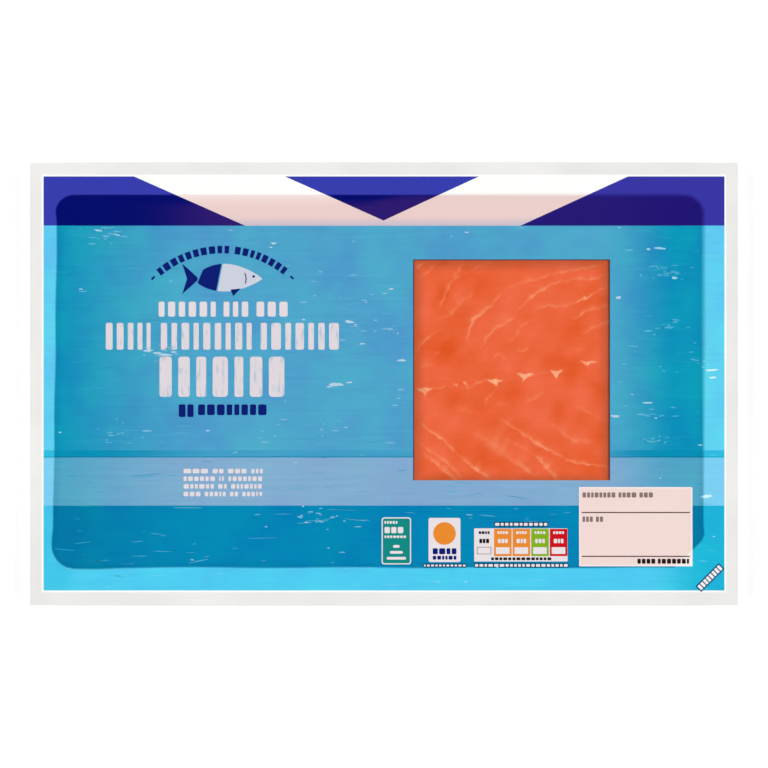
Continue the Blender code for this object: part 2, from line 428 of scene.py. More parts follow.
# %% Fat lines above and below the midline
# Each line: strength, half width in mm, and (x, y) points in mm from the middle of the pack.
FAT_ABOVE = (
    (0.75, 0.45, ((11.6, 42.3), (13.2, 43.9), (15.2, 45.2))),
    (0.50, 0.35, ((12.5, 39.0), (16.8, 42.1), (20.5, 45.6))),
    (0.55, 0.40, ((20.0, 28.2), (21.6, 29.8), (23.6, 34.9), (25.2, 38.2), (28.4, 40.2), (32.0, 41.8))),
    (0.40, 0.35, ((32.0, 41.8), (36.0, 43.9), (40.5, 45.7))),
    (0.50, 0.35, ((25.6, 38.8), (27.8, 42.2), (30.4, 45.8))),
    (0.45, 0.60, ((19.8, 23.6), (23.6, 25.2), (26.2, 27.2), (28.6, 30.4), (31.6, 32.2), (34.0, 35.4))),
    (0.85, 0.55, ((31.0, 14.8), (31.8, 19.6), (33.8, 24.0), (37.2, 26.9), (40.4, 29.6), (43.8, 33.4))),
    (0.45, 0.45, ((43.8, 33.4), (47.4, 36.2), (52.6, 38.0), (58.0, 39.2), (63.2, 41.2), (69.0, 42.2))),
    (0.65, 0.40, ((62.0, 40.4), (68.4, 42.0), (76.0, 43.2), (82.8, 44.6))),
    (0.65, 0.50, ((36.4, 12.8), (38.4, 17.0), (41.4, 20.4), (46.2, 23.2), (49.4, 25.8))),
    (0.70, 0.50, ((49.4, 27.0), (52.6, 29.8), (55.8, 33.0), (59.4, 35.2), (63.2, 37.3), (68.4, 38.8))),
    (0.60, 0.40, ((66.0, 37.6), (72.0, 39.2), (78.2, 39.0), (84.6, 41.6))),
    (0.40, 0.55, ((45.4, 14.8), (49.2, 17.6), (51.6, 21.8), (57.6, 24.0))),
    (0.50, 0.45, ((55.6, 27.2), (60.0, 29.0), (66.4, 28.8), (71.0, 30.6))),
    (0.95, 0.42, ((70.4, 29.9), (73.2, 31.0), (76.0, 32.3), (78.6, 33.8))),
    (0.50, 0.35, ((76.0, 32.3), (79.8, 34.4), (84.6, 36.8))),
    (0.60, 0.45, ((69.4, 24.2), (72.6, 24.9), (75.4, 27.3), (80.2, 28.2), (84.6, 30.4))),
    (0.50, 0.40, ((73.4, 18.2), (78.8, 21.2), (84.6, 23.6))),
    (0.95, 0.30, ((82.2, 22.2), (83.4, 23.0), (84.6, 23.8))),
    (0.60, 0.30, ((49.0, 12.2), (51.8, 12.4), (54.2, 13.0))),
    (0.50, 0.35, ((40.4, 9.5), (42.9, 10.7), (45.4, 9.4))),
    (0.35, 0.35, ((69.6, 13.0), (72.2, 12.8), (75.2, 12.2))),
    (0.60, 0.40, ((11.4, 10.8), (13.6, 14.4), (16.8, 17.3), (19.8, 19.6))),
    (0.40, 0.35, ((18.8, 10.4), (20.8, 12.0))),
    (0.40, 0.50, ((13.0, 5.6), (16.0, 7.0), (18.6, 6.6))),
)
FAT_BELOW = (
    (0.45, 0.40, ((41.8, -1.6), (39.3, -4.2), (37.9, -6.4), (37.4, -9.0))),
    (0.80, 0.50, ((43.4, -13.2), (49.0, -16.8), (54.2, -20.3), (58.0, -23.0), (63.2, -25.5), (68.6, -28.6))),
    (0.75, 0.42, ((67.0, -27.8), (70.4, -29.1), (75.0, -29.9), (84.6, -31.2))),
    (0.75, 0.42, ((12.4, -13.6), (16.8, -17.4), (21.6, -20.7), (25.4, -24.3), (28.6, -27.5))),
    (0.85, 0.55, ((27.4, -26.4), (32.6, -30.7), (36.6, -33.4), (40.4, -36.6))),
    (0.70, 0.40, ((11.2, -19.8), (15.2, -23.8), (19.4, -26.5), (23.8, -29.8), (27.0, -33.0), (30.4, -36.6))),
    (0.70, 0.75, ((14.6, -26.0), (18.8, -29.2), (21.4, -31.4), (25.8, -35.0), (27.2, -36.6))),
    (0.45, 2.10, ((33.4, -18.0), (39.6, -22.2), (44.0, -25.4), (47.2, -28.0))),
    (0.55, 0.90, ((44.0, -25.8), (47.4, -28.3), (51.6, -30.8), (54.4, -33.2), (59.0, -34.8))),
    (0.40, 0.40, ((43.6, -19.8), (49.8, -22.8), (55.2, -25.9))),
    (0.80, 0.70, ((55.2, -25.9), (58.8, -29.2), (61.6, -32.4), (65.6, -36.6))),
    (0.45, 0.90, ((61.6, -14.4), (65.8, -17.6), (70.2, -21.0), (74.0, -21.2), (79.0, -22.4))),
    (0.40, 0.60, ((52.0, -7.2), (55.6, -5.8), (59.6, -3.0))),
    (0.30, 0.40, ((41.0, -8.2), (43.6, -7.6), (46.4, -7.9))),
    (0.30, 0.30, ((17.4, -11.3), (21.0, -11.4))),
    (0.32, 0.90, ((26.6, -8.4), (29.6, -9.8), (33.4, -11.4))),
    (0.35, 0.60, ((70.8, -8.4), (74.0, -9.6), (77.8, -11.6))),
    (0.30, 0.50, ((78.6, -11.8), (81.4, -13.4), (84.6, -14.0))),
)
MIDLINE = (
    (0.50, 0.30, ((12.2, -1.0), (14.4, -2.2), (19.2, -1.8), (23.2, -1.0), (27.2, -0.7))),
    (0.55, 0.28, ((27.2, -0.7), (31.0, -1.9), (34.6, 0.1), (38.8, 1.4), (44.8, 1.2), (49.2, 2.2))),
    (0.35, 0.25, ((49.2, 2.2), (56.8, 3.6), (62.0, 4.4), (66.8, 5.6))),
    (0.35, 0.25, ((71.0, 8.0), (76.0, 8.0), (81.0, 8.6))),
)
# Each wedge: strength, middle of its flat top, half width, depth to its point and how far the point leans.
FAT_WEDGES = (
    (0.80, 15.0, -1.5, 3.0, 3.4, 0.2),
    (0.55, 26.6, -0.2, 1.0, 1.6, 0.6),
    (0.75, 30.2, 0.6, 0.6, 3.6, 1.4),
    (1.00, 41.4, 1.6, 2.8, 3.0, 0.6),
    (0.95, 52.8, 3.8, 3.4, 3.0, -0.8),
    (0.95, 64.4, 4.9, 2.4, 3.6, -0.4),
    (0.75, 76.4, 8.4, 3.4, 1.9, -0.6),
)
print(len(FAT_ABOVE) + len(FAT_BELOW) + len(MIDLINE), "fat lines and", len(FAT_WEDGES), "wedges")

# %% [markdown]
# A line drawn with five points has corners, so it is first made smooth with a Catmull-Rom curve. On the
# real slice one side of each line is crisp, where the flake ends, and the other fades into the flesh, so
# the profile across a line is uneven too. Its strength comes and goes along the way.

# %% Distance to a line
def smooth_line(points, steps=7):
    """A Catmull-Rom curve through the points."""
    held = np.array([points[0], *points, points[-1]], dtype=float)
    curve = []
    for before, start, end, after in zip(held, held[1:], held[2:], held[3:]):
        for t in np.linspace(0, 1, steps, endpoint=False):
            curve.append(
                0.5 * (2 * start + (end - before) * t + (2 * before - 5 * start + 4 * end - after) * t**2
                       + (3 * start - before - 3 * end + after) * t**3)
            )
    return np.array([*curve, held[-1]])


def line_mark(x, y, points, half_width, phase):
    """How strongly a line shows at each point, from 0 to 1."""
    curve = smooth_line(points)
    steps = len(curve) - 1
    nearest = np.full(x.shape, 1e3)
    side = np.zeros(x.shape)
    along = np.zeros(x.shape)
    for i, (start, end) in enumerate(zip(curve, curve[1:])):
        way = end - start
        share = np.clip(((x - start[0]) * way[0] + (y - start[1]) * way[1]) / (way @ way), 0, 1)
        off_x = x - start[0] - share * way[0]
        off_y = y - start[1] - share * way[1]
        distance = np.hypot(off_x, off_y)
        closer = distance < nearest
        nearest = np.where(closer, distance, nearest)
        side = np.where(closer, np.sign(way[0] * off_y - way[1] * off_x), side)
        along = np.where(closer, (i + share) / steps, along)
    taper = np.sin(np.pi * np.clip(along, 0.03, 0.97)) ** 0.45
    patchy = 0.8 + 0.2 * np.sin(along * 17 + phase) * np.sin(along * 7.3 + phase * 2)
    width = 1.2 * half_width * taper * (0.85 + 0.25 * np.sin(along * 23 + phase * 3))
    reach = np.where(side > 0, 2.6, 1.25) * width
    halo = np.where(side > 0, 7.0, 1.6) * width
    core = 0.62 * (1 - ease(nearest / np.maximum(reach, 1e-6)))
    return taper * patchy * (core + 0.26 * (1 - ease(nearest / np.maximum(halo, 1e-6))))


def wedge_mark(x, y, top_x, top_y, half_width, depth, lean):
    """A fat wedge with hollow sides: flat or slightly dished on top, drawn out to a point below."""
    down = (top_y - y) / depth
    middle = top_x + lean * down
    room = half_width * np.clip(1 - down, 0, 1) ** 1.7
    across = np.abs(x - middle)
    top_fade = ease((top_y + 0.35 - y) / 0.5)
    return top_fade * (1 - ease((across - room) / 0.55 + 0.5)) * np.where(down < 1.1, 1.0, 0.0)


near_window = (salmon_x > WINDOW_LEFT - 3) & (salmon_x < WINDOW_RIGHT + 3)
near_window &= (salmon_y > WINDOW_BOTTOM - 3) & (salmon_y < WINDOW_TOP + 3)
seen_x = salmon_x[near_window]
seen_y = salmon_y[near_window]
SLOW_WOBBLE = 0.22
FAST_WOBBLE = 0.10
wobble_x = seen_x + SLOW_WOBBLE * np.sin(seen_y * 1.9 + 0.7 * np.sin(seen_x * 0.9))
wobble_x = wobble_x + FAST_WOBBLE * np.sin(seen_y * 4.7 + seen_x)
wobble_y = seen_y + SLOW_WOBBLE * np.sin(seen_x * 1.6 + 0.8 * np.sin(seen_y * 1.1))
wobble_y = wobble_y + FAST_WOBBLE * np.sin(seen_x * 5.3 - seen_y)
seen_fat = np.zeros(seen_x.shape)
for number, (strength, half_width, points) in enumerate(FAT_ABOVE + FAT_BELOW + MIDLINE):
    mark = line_mark(wobble_x, wobble_y, points, half_width, number * 1.7)
    seen_fat = np.maximum(seen_fat, strength * mark)
for strength, *shape in FAT_WEDGES:
    seen_fat = np.maximum(seen_fat, strength * wedge_mark(wobble_x, wobble_y, *shape))
fat = np.zeros(salmon_x.shape)
fat[near_window] = seen_fat
print("share of the window that is fat", round(float((seen_fat > 0.3).mean()), 3))

# %% [markdown]
# ## The salmon: colour of the flesh
#
# Between the lines the flesh isn't one colour. It runs from deep orange, where a flake is thin and wet,
# to a paler coral, where it is thick and cloudy. These patches are centimetres wide with soft edges.
# A few are given as soft ovals and slow waves fill in the rest.

# %% Tone of the flesh
# Each patch: x and y of its middle, half width, half height, and amount. Below zero is deeper.
FLESH_PATCHES = (
    (21.8, 34.6, 3.4, 4.6, -1.5),
    (22.4, 15.6, 5.0, 7.0, -0.55),
    (24.6, -6.0, 4.5, 4.0, -0.5),
    (17.0, 41.5, 5.0, 2.6, -0.5),
    (33.0, 42.0, 6.0, 4.0, -0.45),
    (46.0, 33.0, 4.5, 4.5, 0.9),
    (42.0, 24.0, 5.0, 4.0, 0.55),
    (36.5, 20.0, 3.0, 5.0, 0.35),
    (60.0, 32.6, 6.5, 3.0, -0.5),
    (68.0, 8.4, 4.5, 3.0, -0.8),
    (64.8, -9.4, 2.6, 5.0, -1.0),
    (62.6, -19.5, 5.0, 3.0, -0.7),
    (58.0, -25.5, 6.0, 3.4, -0.6),
    (53.0, -30.5, 2.4, 1.6, -0.8),
    (40.0, -30.0, 6.0, 4.0, -0.45),
    (44.5, -3.4, 4.5, 3.6, -0.45),
    (72.5, 0.4, 3.0, 4.5, 0.5),
    (55.0, -9.0, 6.0, 3.5, 0.4),
    (14.6, 28.0, 2.6, 5.0, 0.5),
    (74.0, -6.0, 5.0, 4.0, 0.25),
    (22.0, 45.2, 2.2, 1.1, -1.6),
)


PATCH_STRENGTH = 0.6


def flesh_tone(x, y):
    """Paler above zero, deeper below, about -1 to 1."""
    tone = 0.10 + 0.20 * np.sin(x / 7.0 + 1.3 * np.sin(y / 9.0)) + 0.16 * np.sin((x + 2 * y) / 5.1 + 2.0)
    tone = tone + 0.10 * np.sin((2 * x - y) / 3.3 + 1.1 * np.sin(y / 4.0))
    for middle_x, middle_y, half_x, half_y, amount in FLESH_PATCHES:
        off = ((x - middle_x) / half_x) ** 2 + ((y - middle_y) / half_y) ** 2
        tone = tone + PATCH_STRENGTH * amount * np.exp(-off)
    return np.clip(tone, -1.5, 1.2)


def print_shade_near_window(x, y):
    """Painted shade near the window: 1 at its edge and 0 from EDGE_FADE inside it, for light lost under the
    print.
    """
    from_side = np.minimum(x - WINDOW_LEFT, WINDOW_RIGHT - x)
    from_end = np.minimum(WINDOW_TOP - y, y - WINDOW_BOTTOM + 1.2)
    inside = np.minimum(from_side, from_end)
    return 1 - ease(inside / EDGE_FADE)


EDGE_FADE = 5.2
tone = flesh_tone(salmon_x, salmon_y)
# edge holds painted shade: the flesh is darker near the window's edge, where the print keeps light from it.
edge = print_shade_near_window(salmon_x, salmon_y)
print("tone from", round(float(tone[near_window].min()), 2), "to", round(float(tone[near_window].max()), 2))

# %% [markdown]
# ## The salmon: mesh
#
# The top is the graded grid at the film's height. The flakes stand a few hundredths of a millimetre proud
# of the fat between them, and that relief is in the mesh. Its border goes down in rounded steps to a flat
# base just above the tray's floor, so the stack is one closed body.

# %% Salmon mesh
RELIEF = 0.05


def make_salmon(material):
    builder = bmesh.new()
    bottom = salmon_low.z / MM
    bend = ease((1 - salmon_reach) / 0.28)
    lid = lid_height(salmon_x, salmon_y) - UNDER_LID
    relief = RELIEF * (0.5 * tone - fat) * near_window
    height = bottom + STACK_EDGE + (lid - bottom - STACK_EDGE) * bend + relief * bend
    count_y, count_x = salmon_x.shape
    top = [
        [builder.verts.new((salmon_x[j, i], salmon_y[j, i], height[j, i])) for i in range(count_x)]
        for j in range(count_y)
    ]
    for low_row, high_row in zip(top, top[1:]):
        for i in range(count_x - 1):
            builder.faces.new((low_row[i], low_row[i + 1], high_row[i + 1], high_row[i]))
    border = top[0] + [row[-1] for row in top[1:]] + top[-1][-2::-1] + [row[0] for row in top[-2:0:-1]]
    previous = border
    for angle in (30, 0, -40, -90):
        out = 1.4 * math.cos(math.radians(angle)) - 1.4 * math.cos(math.radians(60))
        level = bottom + STACK_EDGE / 2 * (1 + math.sin(math.radians(angle)))
        loop = []
        for point in border:
            away = (point.co.x - stack_x, point.co.y - stack_y)
            grow = 1 + (out - 0.7) / math.hypot(*away)
            loop.append(builder.verts.new((stack_x + away[0] * grow, stack_y + away[1] * grow, level)))
        bridge(builder, previous, loop)
        previous = loop
    builder.faces.new(previous)
    return add_piece("salmon_slices", builder, material)


# %% [markdown]
# Cured salmon flesh: moist, close-grained and a little see-through, so light enters it and comes back
# warm. The subsurface part is small and its scale is 2 mm. Gloss is soft and uneven, because oil lies on
# the flesh in places. Fine fibres run between the fat lines; they are drawn as noise 0.6 mm wide and 6 mm
# long, which is coarser than real fibres but just wide enough to show.

# %% Cured salmon flesh
def salmon_flesh():
    material, tree, shader = new_material("cured_salmon_flesh", ior=1.4, subsurface_weight=0.15,
                                          subsurface_scale=2 * MM, specular_ior_level=0.2)
    shader.inputs["Subsurface Radius"].default_value = (1.0, 0.4, 0.25)
    place = node(tree, "TexCoord").outputs["Object"]
    patches = node(tree, "Attribute", attribute_name="tone").outputs["Fac"]
    marks = node(tree, "Attribute", attribute_name="fat").outputs["Fac"]
    painted_print_shade = node(tree, "Attribute", attribute_name="edge").outputs["Fac"]
    cloud = node(tree, "TexNoise", {"Vector": place, "Scale": 1 / (9 * MM), "Detail": 3.0,
                                    "Roughness": 0.55})
    turned = node(tree, "Mapping", {"Vector": place, "Rotation": (0, 0, math.radians(-32)),
                                    "Scale": (1 / (6 * MM), 1 / (0.7 * MM), 1 / (6 * MM))})
    fibre = node(tree, "TexNoise", {"Vector": turned.outputs["Vector"], "Scale": 1.0, "Detail": 2.0})
    cloudy = node(tree, "Math", {0: cloud.outputs["Fac"], 1: 1.0, 2: -0.5}, operation="MULTIPLY_ADD")
    fibrous = node(tree, "Math", {0: fibre.outputs["Fac"], 1: 0.5, 2: -0.25}, operation="MULTIPLY_ADD")
    summed = node(tree, "Math", {0: patches, 1: cloudy.outputs[0]}, operation="ADD")
    summed = node(tree, "Math", {0: summed.outputs[0], 1: fibrous.outputs[0]}, operation="ADD")
    spread = node(tree, "MapRange", {"Value": summed.outputs[0], "From Min": -1.5, "From Max": 1.2})
    flesh = node(tree, "ValToRGB", {"Fac": spread.outputs["Result"]})
    ramp = flesh.color_ramp
    ramp.elements[0].position = 0.0
    ramp.elements[0].color = linear("#d6480f")
    ramp.elements[1].position = 1.0
    ramp.elements[1].color = linear("#f37d5e")
    for position, colour in ((0.3, "#e0571f"), (0.52, "#e96437"), (0.75, "#ee6d48")):
        ramp.elements.new(position).color = linear(colour)
    speckle = node(tree, "TexNoise", {"Vector": place, "Scale": 1 / (1.6 * MM), "Detail": 2.0})
    broken = node(tree, "MapRange", {"Value": speckle.outputs["Fac"], "From Min": 0.3, "From Max": 0.6,
                                     "To Min": 0.72, "To Max": 1.0})
    amount = node(tree, "Math", {0: marks, 1: broken.outputs["Result"]}, operation="MULTIPLY")
    fatty = node(tree, "ValToRGB", {"Fac": amount.outputs[0]})
    fatty.color_ramp.elements[0].color = linear("#f18458")
    fatty.color_ramp.elements[1].color = linear("#f9b98f")
    blend_fat = node(tree, "MapRange", {"Value": amount.outputs[0], "From Max": 0.75, "To Max": 0.95})
    with_fat = node(tree, "Mix", {0: blend_fat.outputs["Result"], 6: flesh.outputs["Color"],
                                  7: fatty.outputs["Color"]}, data_type="RGBA")
    # Painted shade: near the window's edge the flesh is mixed towards dark brown #b0502f, where the print
    # keeps light from it.
    darker = node(tree, "Math", {0: painted_print_shade, 1: 0.62}, operation="MULTIPLY")
    shaded = node(tree, "Mix", {0: darker.outputs[0], 6: with_fat.outputs[2], 7: linear("#b0502f")},
                  data_type="RGBA")
    tree.links.new(shaded.outputs[2], shader.inputs["Base Color"])
    gloss = node(tree, "MapRange", {"Value": cloud.outputs["Fac"], "From Min": 0.3, "From Max": 0.7,
                                    "To Min": 0.3, "To Max": 0.48})
    tree.links.new(gloss.outputs["Result"], shader.inputs["Roughness"])
    bump = node(tree, "Bump", {"Height": fibre.outputs["Fac"], "Strength": 0.1, "Distance": 0.03 * MM})
    tree.links.new(bump.outputs["Normal"], shader.inputs["Normal"])
    return material


salmon = make_salmon(salmon_flesh())
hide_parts("salmon")
top_count = salmon_x.size
extra = len(salmon.data.vertices) - top_count
store(salmon, "fat", np.concatenate([fat.ravel(), np.zeros(extra)]))
store(salmon, "tone", np.concatenate([tone.ravel(), np.zeros(extra)]))
store(salmon, "edge", np.concatenate([edge.ravel(), np.zeros(extra)]))
print("salmon faces", len(salmon.data.polygons))

# %% [markdown]
# ## Laying ink on the lid
#
# The film is printed on its inside, one ink over another. Each colour is made here as its own thin piece
# instead of as a mask in a shader: its edge is then exactly as crisp as a printing plate's, close up and
# in any export. A shape is drawn flat, cut along the lid's grid lines, dropped to the lid's height and
# given a thickness. A level number says which ink lies on which.

# %% Lay a printed shape
LEVEL_STEP = 0.025
INK = 0.018
LOWEST_INK = 0.10


def salmon_below(x, y):
    """How much the fish shows pink through the print, from 0 to 1."""
    from_left = ease((x + 124) / 64) ** 0.8
    from_right = ease((109 - x) / 30)
    from_top = ease((71.5 + 2.5 * ease((x + 10) / 20) - y) / 5.0)
    return from_left * from_right * from_top


def seal_wander(x, y):
    """How far in mm the film lets go of the web outside the pocket's outline, or inside it, below zero."""
    lean = 0.2 + 0.7 * y / 60.0 + 0.12 * np.sin(y / 6.0)
    at_left = ease((-x - 95.0) / 15.0) * ease((69.0 - y) / 8.0) * lean
    at_foot = ease((-y - 52.0) / 8.0) * (0.75 + 0.15 * np.sin(x / 9.0))
    at_top = 0.3 * ease((y - 60.0) / 5.0)
    return at_foot + at_top - at_left


def rim_blur(x, y):
    """Half the width in mm over which the print changes at the rim: crisp at the left, soft at the right."""
    return 0.35 + 0.75 * ease((x + 20) / 110) * ease((y + 60) / 90)


def cut_on_grid(builder, cuts):
    """Cut all faces along the lid's grid lines and a few lines more, so that they can be bent."""
    for axis in (0, 1):
        spots = [vert.co[axis] for vert in builder.verts]
        low = min(spots)
        high = max(spots)
        lines = [GRID * i for i in range(math.ceil(low / GRID), math.floor(high / GRID) + 1)]
        lines += cuts[axis]
        normal = (1, 0, 0) if axis == 0 else (0, 1, 0)
        for line in lines:
            if low + 1e-3 < line < high - 1e-3:
                geometry = builder.verts[:] + builder.edges[:] + builder.faces[:]
                place = (line, 0, 0) if axis == 0 else (0, line, 0)
                bmesh.ops.bisect_plane(builder, geom=geometry, dist=1e-4, plane_co=place, plane_no=normal)


def lay(name, outlines, level, material, cuts=((), ())):
    """Lay flat outlines, in mm, on the lid as one closed layer of ink."""
    builder = bmesh.new()
    for outline in outlines:
        builder.faces.new([builder.verts.new((x, y, 0.0)) for x, y in outline])
    cut_on_grid(builder, cuts)
    bmesh.ops.remove_doubles(builder, verts=builder.verts, dist=1e-3)
    bmesh.ops.recalc_face_normals(builder, faces=builder.faces)
    if builder.faces[:][0].normal.z < 0:
        bmesh.ops.reverse_faces(builder, faces=builder.faces)
    spots = np.array([vert.co[:2] for vert in builder.verts], dtype=float)
    heights = lid_on_grid(spots[:, 0], spots[:, 1]) - LOWEST_INK + level * LEVEL_STEP
    for vert, height in zip(builder.verts, heights):
        vert.co.z = height
    grown = bmesh.ops.extrude_face_region(builder, geom=builder.faces[:])["geom"]
    raised = [item for item in grown if isinstance(item, bmesh.types.BMVert)]
    bmesh.ops.translate(builder, vec=(0, 0, INK), verts=raised)
    piece = add_piece(name, builder, material)
    x, y, _ = places(piece).T
    store(piece, "pocket_depth", depth_in_pocket(x, y) + seal_wander(x, y))
    store(piece, "rim_blur", rim_blur(x, y))
    store(piece, "salmon_below", salmon_below(x, y))
    store(piece, "at_end", ease((x - 96.0) / 24.0) + 0.35 * ease((-x - 114.0) / 6.0))
    return piece


def box_outline(left, right, bottom, top):
    return [(left, bottom), (right, bottom), (right, top), (left, top)]


print("ink levels are", LEVEL_STEP, "mm apart")

# %% [markdown]
# ## What an ink looks like from above
#
# Solvent ink on a laminate film is thin: what lies behind it changes its colour. Over the white flange it
# is bright, over the salmon it turns a little pink, and over the empty edge of the pocket it is deep: that
# deep colour is painted shade, the shade of the hollow under the film. A little more painted shade darkens
# the ink in the first 3.4 mm inside the pocket's rim. Each ink is given those three colours, and the
# distance inside the pocket decides which one shows. The planks also carry dry brush strokes, which are
# noise stretched along the wood, 30 mm long and 1.3 mm high, and soft clouds about 16 mm wide where the
# paint is thicker. Ink is bonded to the film, so no air lies between them and the ink mirrors next to
# nothing of its own: its specular level is close to zero.

# %% Printed ink material
def ink(name, flange, pocket, salmon, strokes=0.0, clouds=0.0, rim_shade=0.10, foot=None, ends=None, cover=1.0):
    """A print colour seen over the flange, over the empty pocket, where it carries painted shade, and over
    the fish.

    foot is (colour, height in mm, how high it fades): a shade along the lower edge of a field.
    ends is the flange colour at the pack's two ends, where it isn't the same as along the sides.
    cover is above 1 for a dense ink, which the fish shows through only where the stack is thick.
    """
    material, tree, shader = new_material(name, ior=1.48, specular_ior_level=0.04)
    place = node(tree, "TexCoord").outputs["Object"]
    depth = node(tree, "Attribute", attribute_name="pocket_depth").outputs["Fac"]
    blur = node(tree, "Attribute", attribute_name="rim_blur").outputs["Fac"]
    fish = node(tree, "Attribute", attribute_name="salmon_below").outputs["Fac"]
    fish = node(tree, "Math", {0: fish, 1: cover}, operation="POWER").outputs[0]
    share = node(tree, "Math", {0: depth, 1: blur}, operation="DIVIDE")
    inside = node(tree, "MapRange", {"Value": share.outputs[0], "From Min": -1.0, "From Max": 1.0},
                  interpolation_type="SMOOTHSTEP")
    # Over the empty pocket the colour is painted shade of the hollow under the film; over the fish it is the
    # fish seen through the ink.
    under = node(tree, "Mix", {0: fish, 6: linear(pocket), 7: linear(salmon)}, data_type="RGBA")
    outside = linear(flange)
    if ends:
        at_end = node(tree, "Attribute", attribute_name="at_end").outputs["Fac"]
        outside = node(tree, "Mix", {0: at_end, 6: linear(flange), 7: linear(ends)},
                       data_type="RGBA").outputs[2]
    colour = node(tree, "Mix", {0: inside.outputs["Result"], 6: outside, 7: under.outputs[2]},
                  data_type="RGBA")
    stretched = node(tree, "VectorMath", {0: place, 1: (1 / (30 * MM), 1 / (1.3 * MM), 0)},
                     operation="MULTIPLY")
    stroke = node(tree, "TexNoise", {"Vector": stretched.outputs[0], "Scale": 1.0, "Detail": 3.0,
                                     "Roughness": 0.6})
    cloud = node(tree, "TexNoise", {"Vector": place, "Scale": 1 / (16 * MM), "Detail": 2.0})
    hue = node(tree, "MapRange", {"Value": cloud.outputs["Fac"], "From Min": 0.3, "From Max": 0.7,
                                  "To Min": 0.5 - 0.03 * clouds, "To Max": 0.5 + 0.03 * clouds})
    # rim_shade: painted shade that darkens the ink over the first 3.4 mm inside the pocket's rim; none on
    # the flange.
    rim = node(tree, "MapRange", {"Value": depth, "From Min": 0.0, "From Max": 3.4, "To Min": 1 - rim_shade,
                                  "To Max": 1.0}, interpolation_type="SMOOTHSTEP")
    on_flange = node(tree, "MapRange", {"Value": share.outputs[0], "From Min": -1.0, "From Max": 1.0,
                                        "To Min": 1.0, "To Max": 0.0})
    rim = node(tree, "Math", {0: rim.outputs["Result"], 1: on_flange.outputs["Result"]}, operation="MAXIMUM")
    brushed = node(tree, "MapRange", {"Value": stroke.outputs["Fac"], "From Min": 0.25, "From Max": 0.75,
                                      "To Min": 1 - 0.5 * strokes, "To Max": 1 + 0.5 * strokes})
    value = node(tree, "Math", {0: rim.outputs[0], 1: brushed.outputs["Result"]}, operation="MULTIPLY")
    final = node(tree, "HueSaturation", {"Hue": hue.outputs["Result"], "Value": value.outputs[0],
                                         "Color": colour.outputs[2]}).outputs["Color"]
    if foot:
        shade, bottom, fade = foot
        up = node(tree, "SeparateXYZ", {0: place}).outputs["Y"]
        low = node(tree, "MapRange", {"Value": up, "From Min": bottom * MM, "From Max": (bottom + fade) * MM,
                                      "To Min": 1.0, "To Max": 0.0}, interpolation_type="SMOOTHSTEP")
        final = node(tree, "Mix", {0: low.outputs["Result"], 6: final, 7: linear(shade)},
                     data_type="RGBA").outputs[2]
    tree.links.new(final, shader.inputs["Base Color"])
    gloss = node(tree, "MapRange", {"Value": stroke.outputs["Fac"], "To Min": 0.38, "To Max": 0.52})
    tree.links.new(gloss.outputs["Result"], shader.inputs["Roughness"])
    return material


# %% [markdown]
# ## The print's big fields
#
# The whole design sits on a white underprint that shows as a fine line all round. A band of navy and white
# crosses the top. Below it are three painted planks: a tall sky-blue one, a paler one and a deep one, with
# a dark seam between the first two. Plank pieces stop at the window, so there is no ink over it.

# %% Layout of the print
PRINT_X = 126.8
PRINT_TOP = 77.3
PRINT_BOTTOM = -76.9
UNDERPRINT = 0.7
BAND_BOTTOM = 59.0
SEAM_TOP = -24.7
SEAM_BOTTOM = -27.4
SEAM_LINE = 0.5
PALE_BOTTOM = -45.3
WINDOW_CUTS = ([WINDOW_LEFT, WINDOW_RIGHT], [WINDOW_TOP, WINDOW_BOTTOM])


def around_window(bottom, top):
    """A field across the whole print, without the part of it that lies in the window."""
    low = max(bottom, WINDOW_BOTTOM)
    high = min(top, WINDOW_TOP)
    fields = [box_outline(-PRINT_X, WINDOW_LEFT, bottom, top)]
    fields.append(box_outline(WINDOW_RIGHT, PRINT_X, bottom, top))
    if top > high:
        fields.append(box_outline(WINDOW_LEFT, WINDOW_RIGHT, high, top))
    if bottom < low:
        fields.append(box_outline(WINDOW_LEFT, WINDOW_RIGHT, bottom, low))
    return fields


white_ink = ink("white_ink", "#fdfdfb", "#fbf1ec", "#ebd1cc", rim_shade=0.04)
white_band_ink = ink("white_band_ink", "#fdfdfb", "#f8ebe6", "#eacfcb", rim_shade=0.04,
                     foot=("#cdc0ca", BAND_BOTTOM, 4.0))
plank_blue = ink("sky_blue_plank_ink", "#60cdee", "#0796bb", "#4fa5cb", strokes=0.10, clouds=0.5)
seam_blue = ink("plank_seam_ink", "#30bcdf", "#0490b6", "#43a0c8", strokes=0.10, cover=3.0)
seam_dark = ink("plank_seam_line_ink", "#1fb0d2", "#0480a8", "#2c8fb8", strokes=0.12, cover=2.0)
pale_blue = ink("pale_plank_ink", "#7ccfef", "#52a6c6", "#84add0", strokes=0.12, clouds=0.3)
deep_blue = ink("deep_blue_plank_ink", "#50ccef", "#007ba7", "#0087b6", strokes=0.10, clouds=0.3,
                ends="#1eb4d8")
navy = ink("navy_ink", "#383eae", "#000a6c", "#2e1a70", rim_shade=0.0, cover=6.0)
violet = ink("violet_navy_ink", "#3a37a5", "#201375", "#251876", rim_shade=0.0)

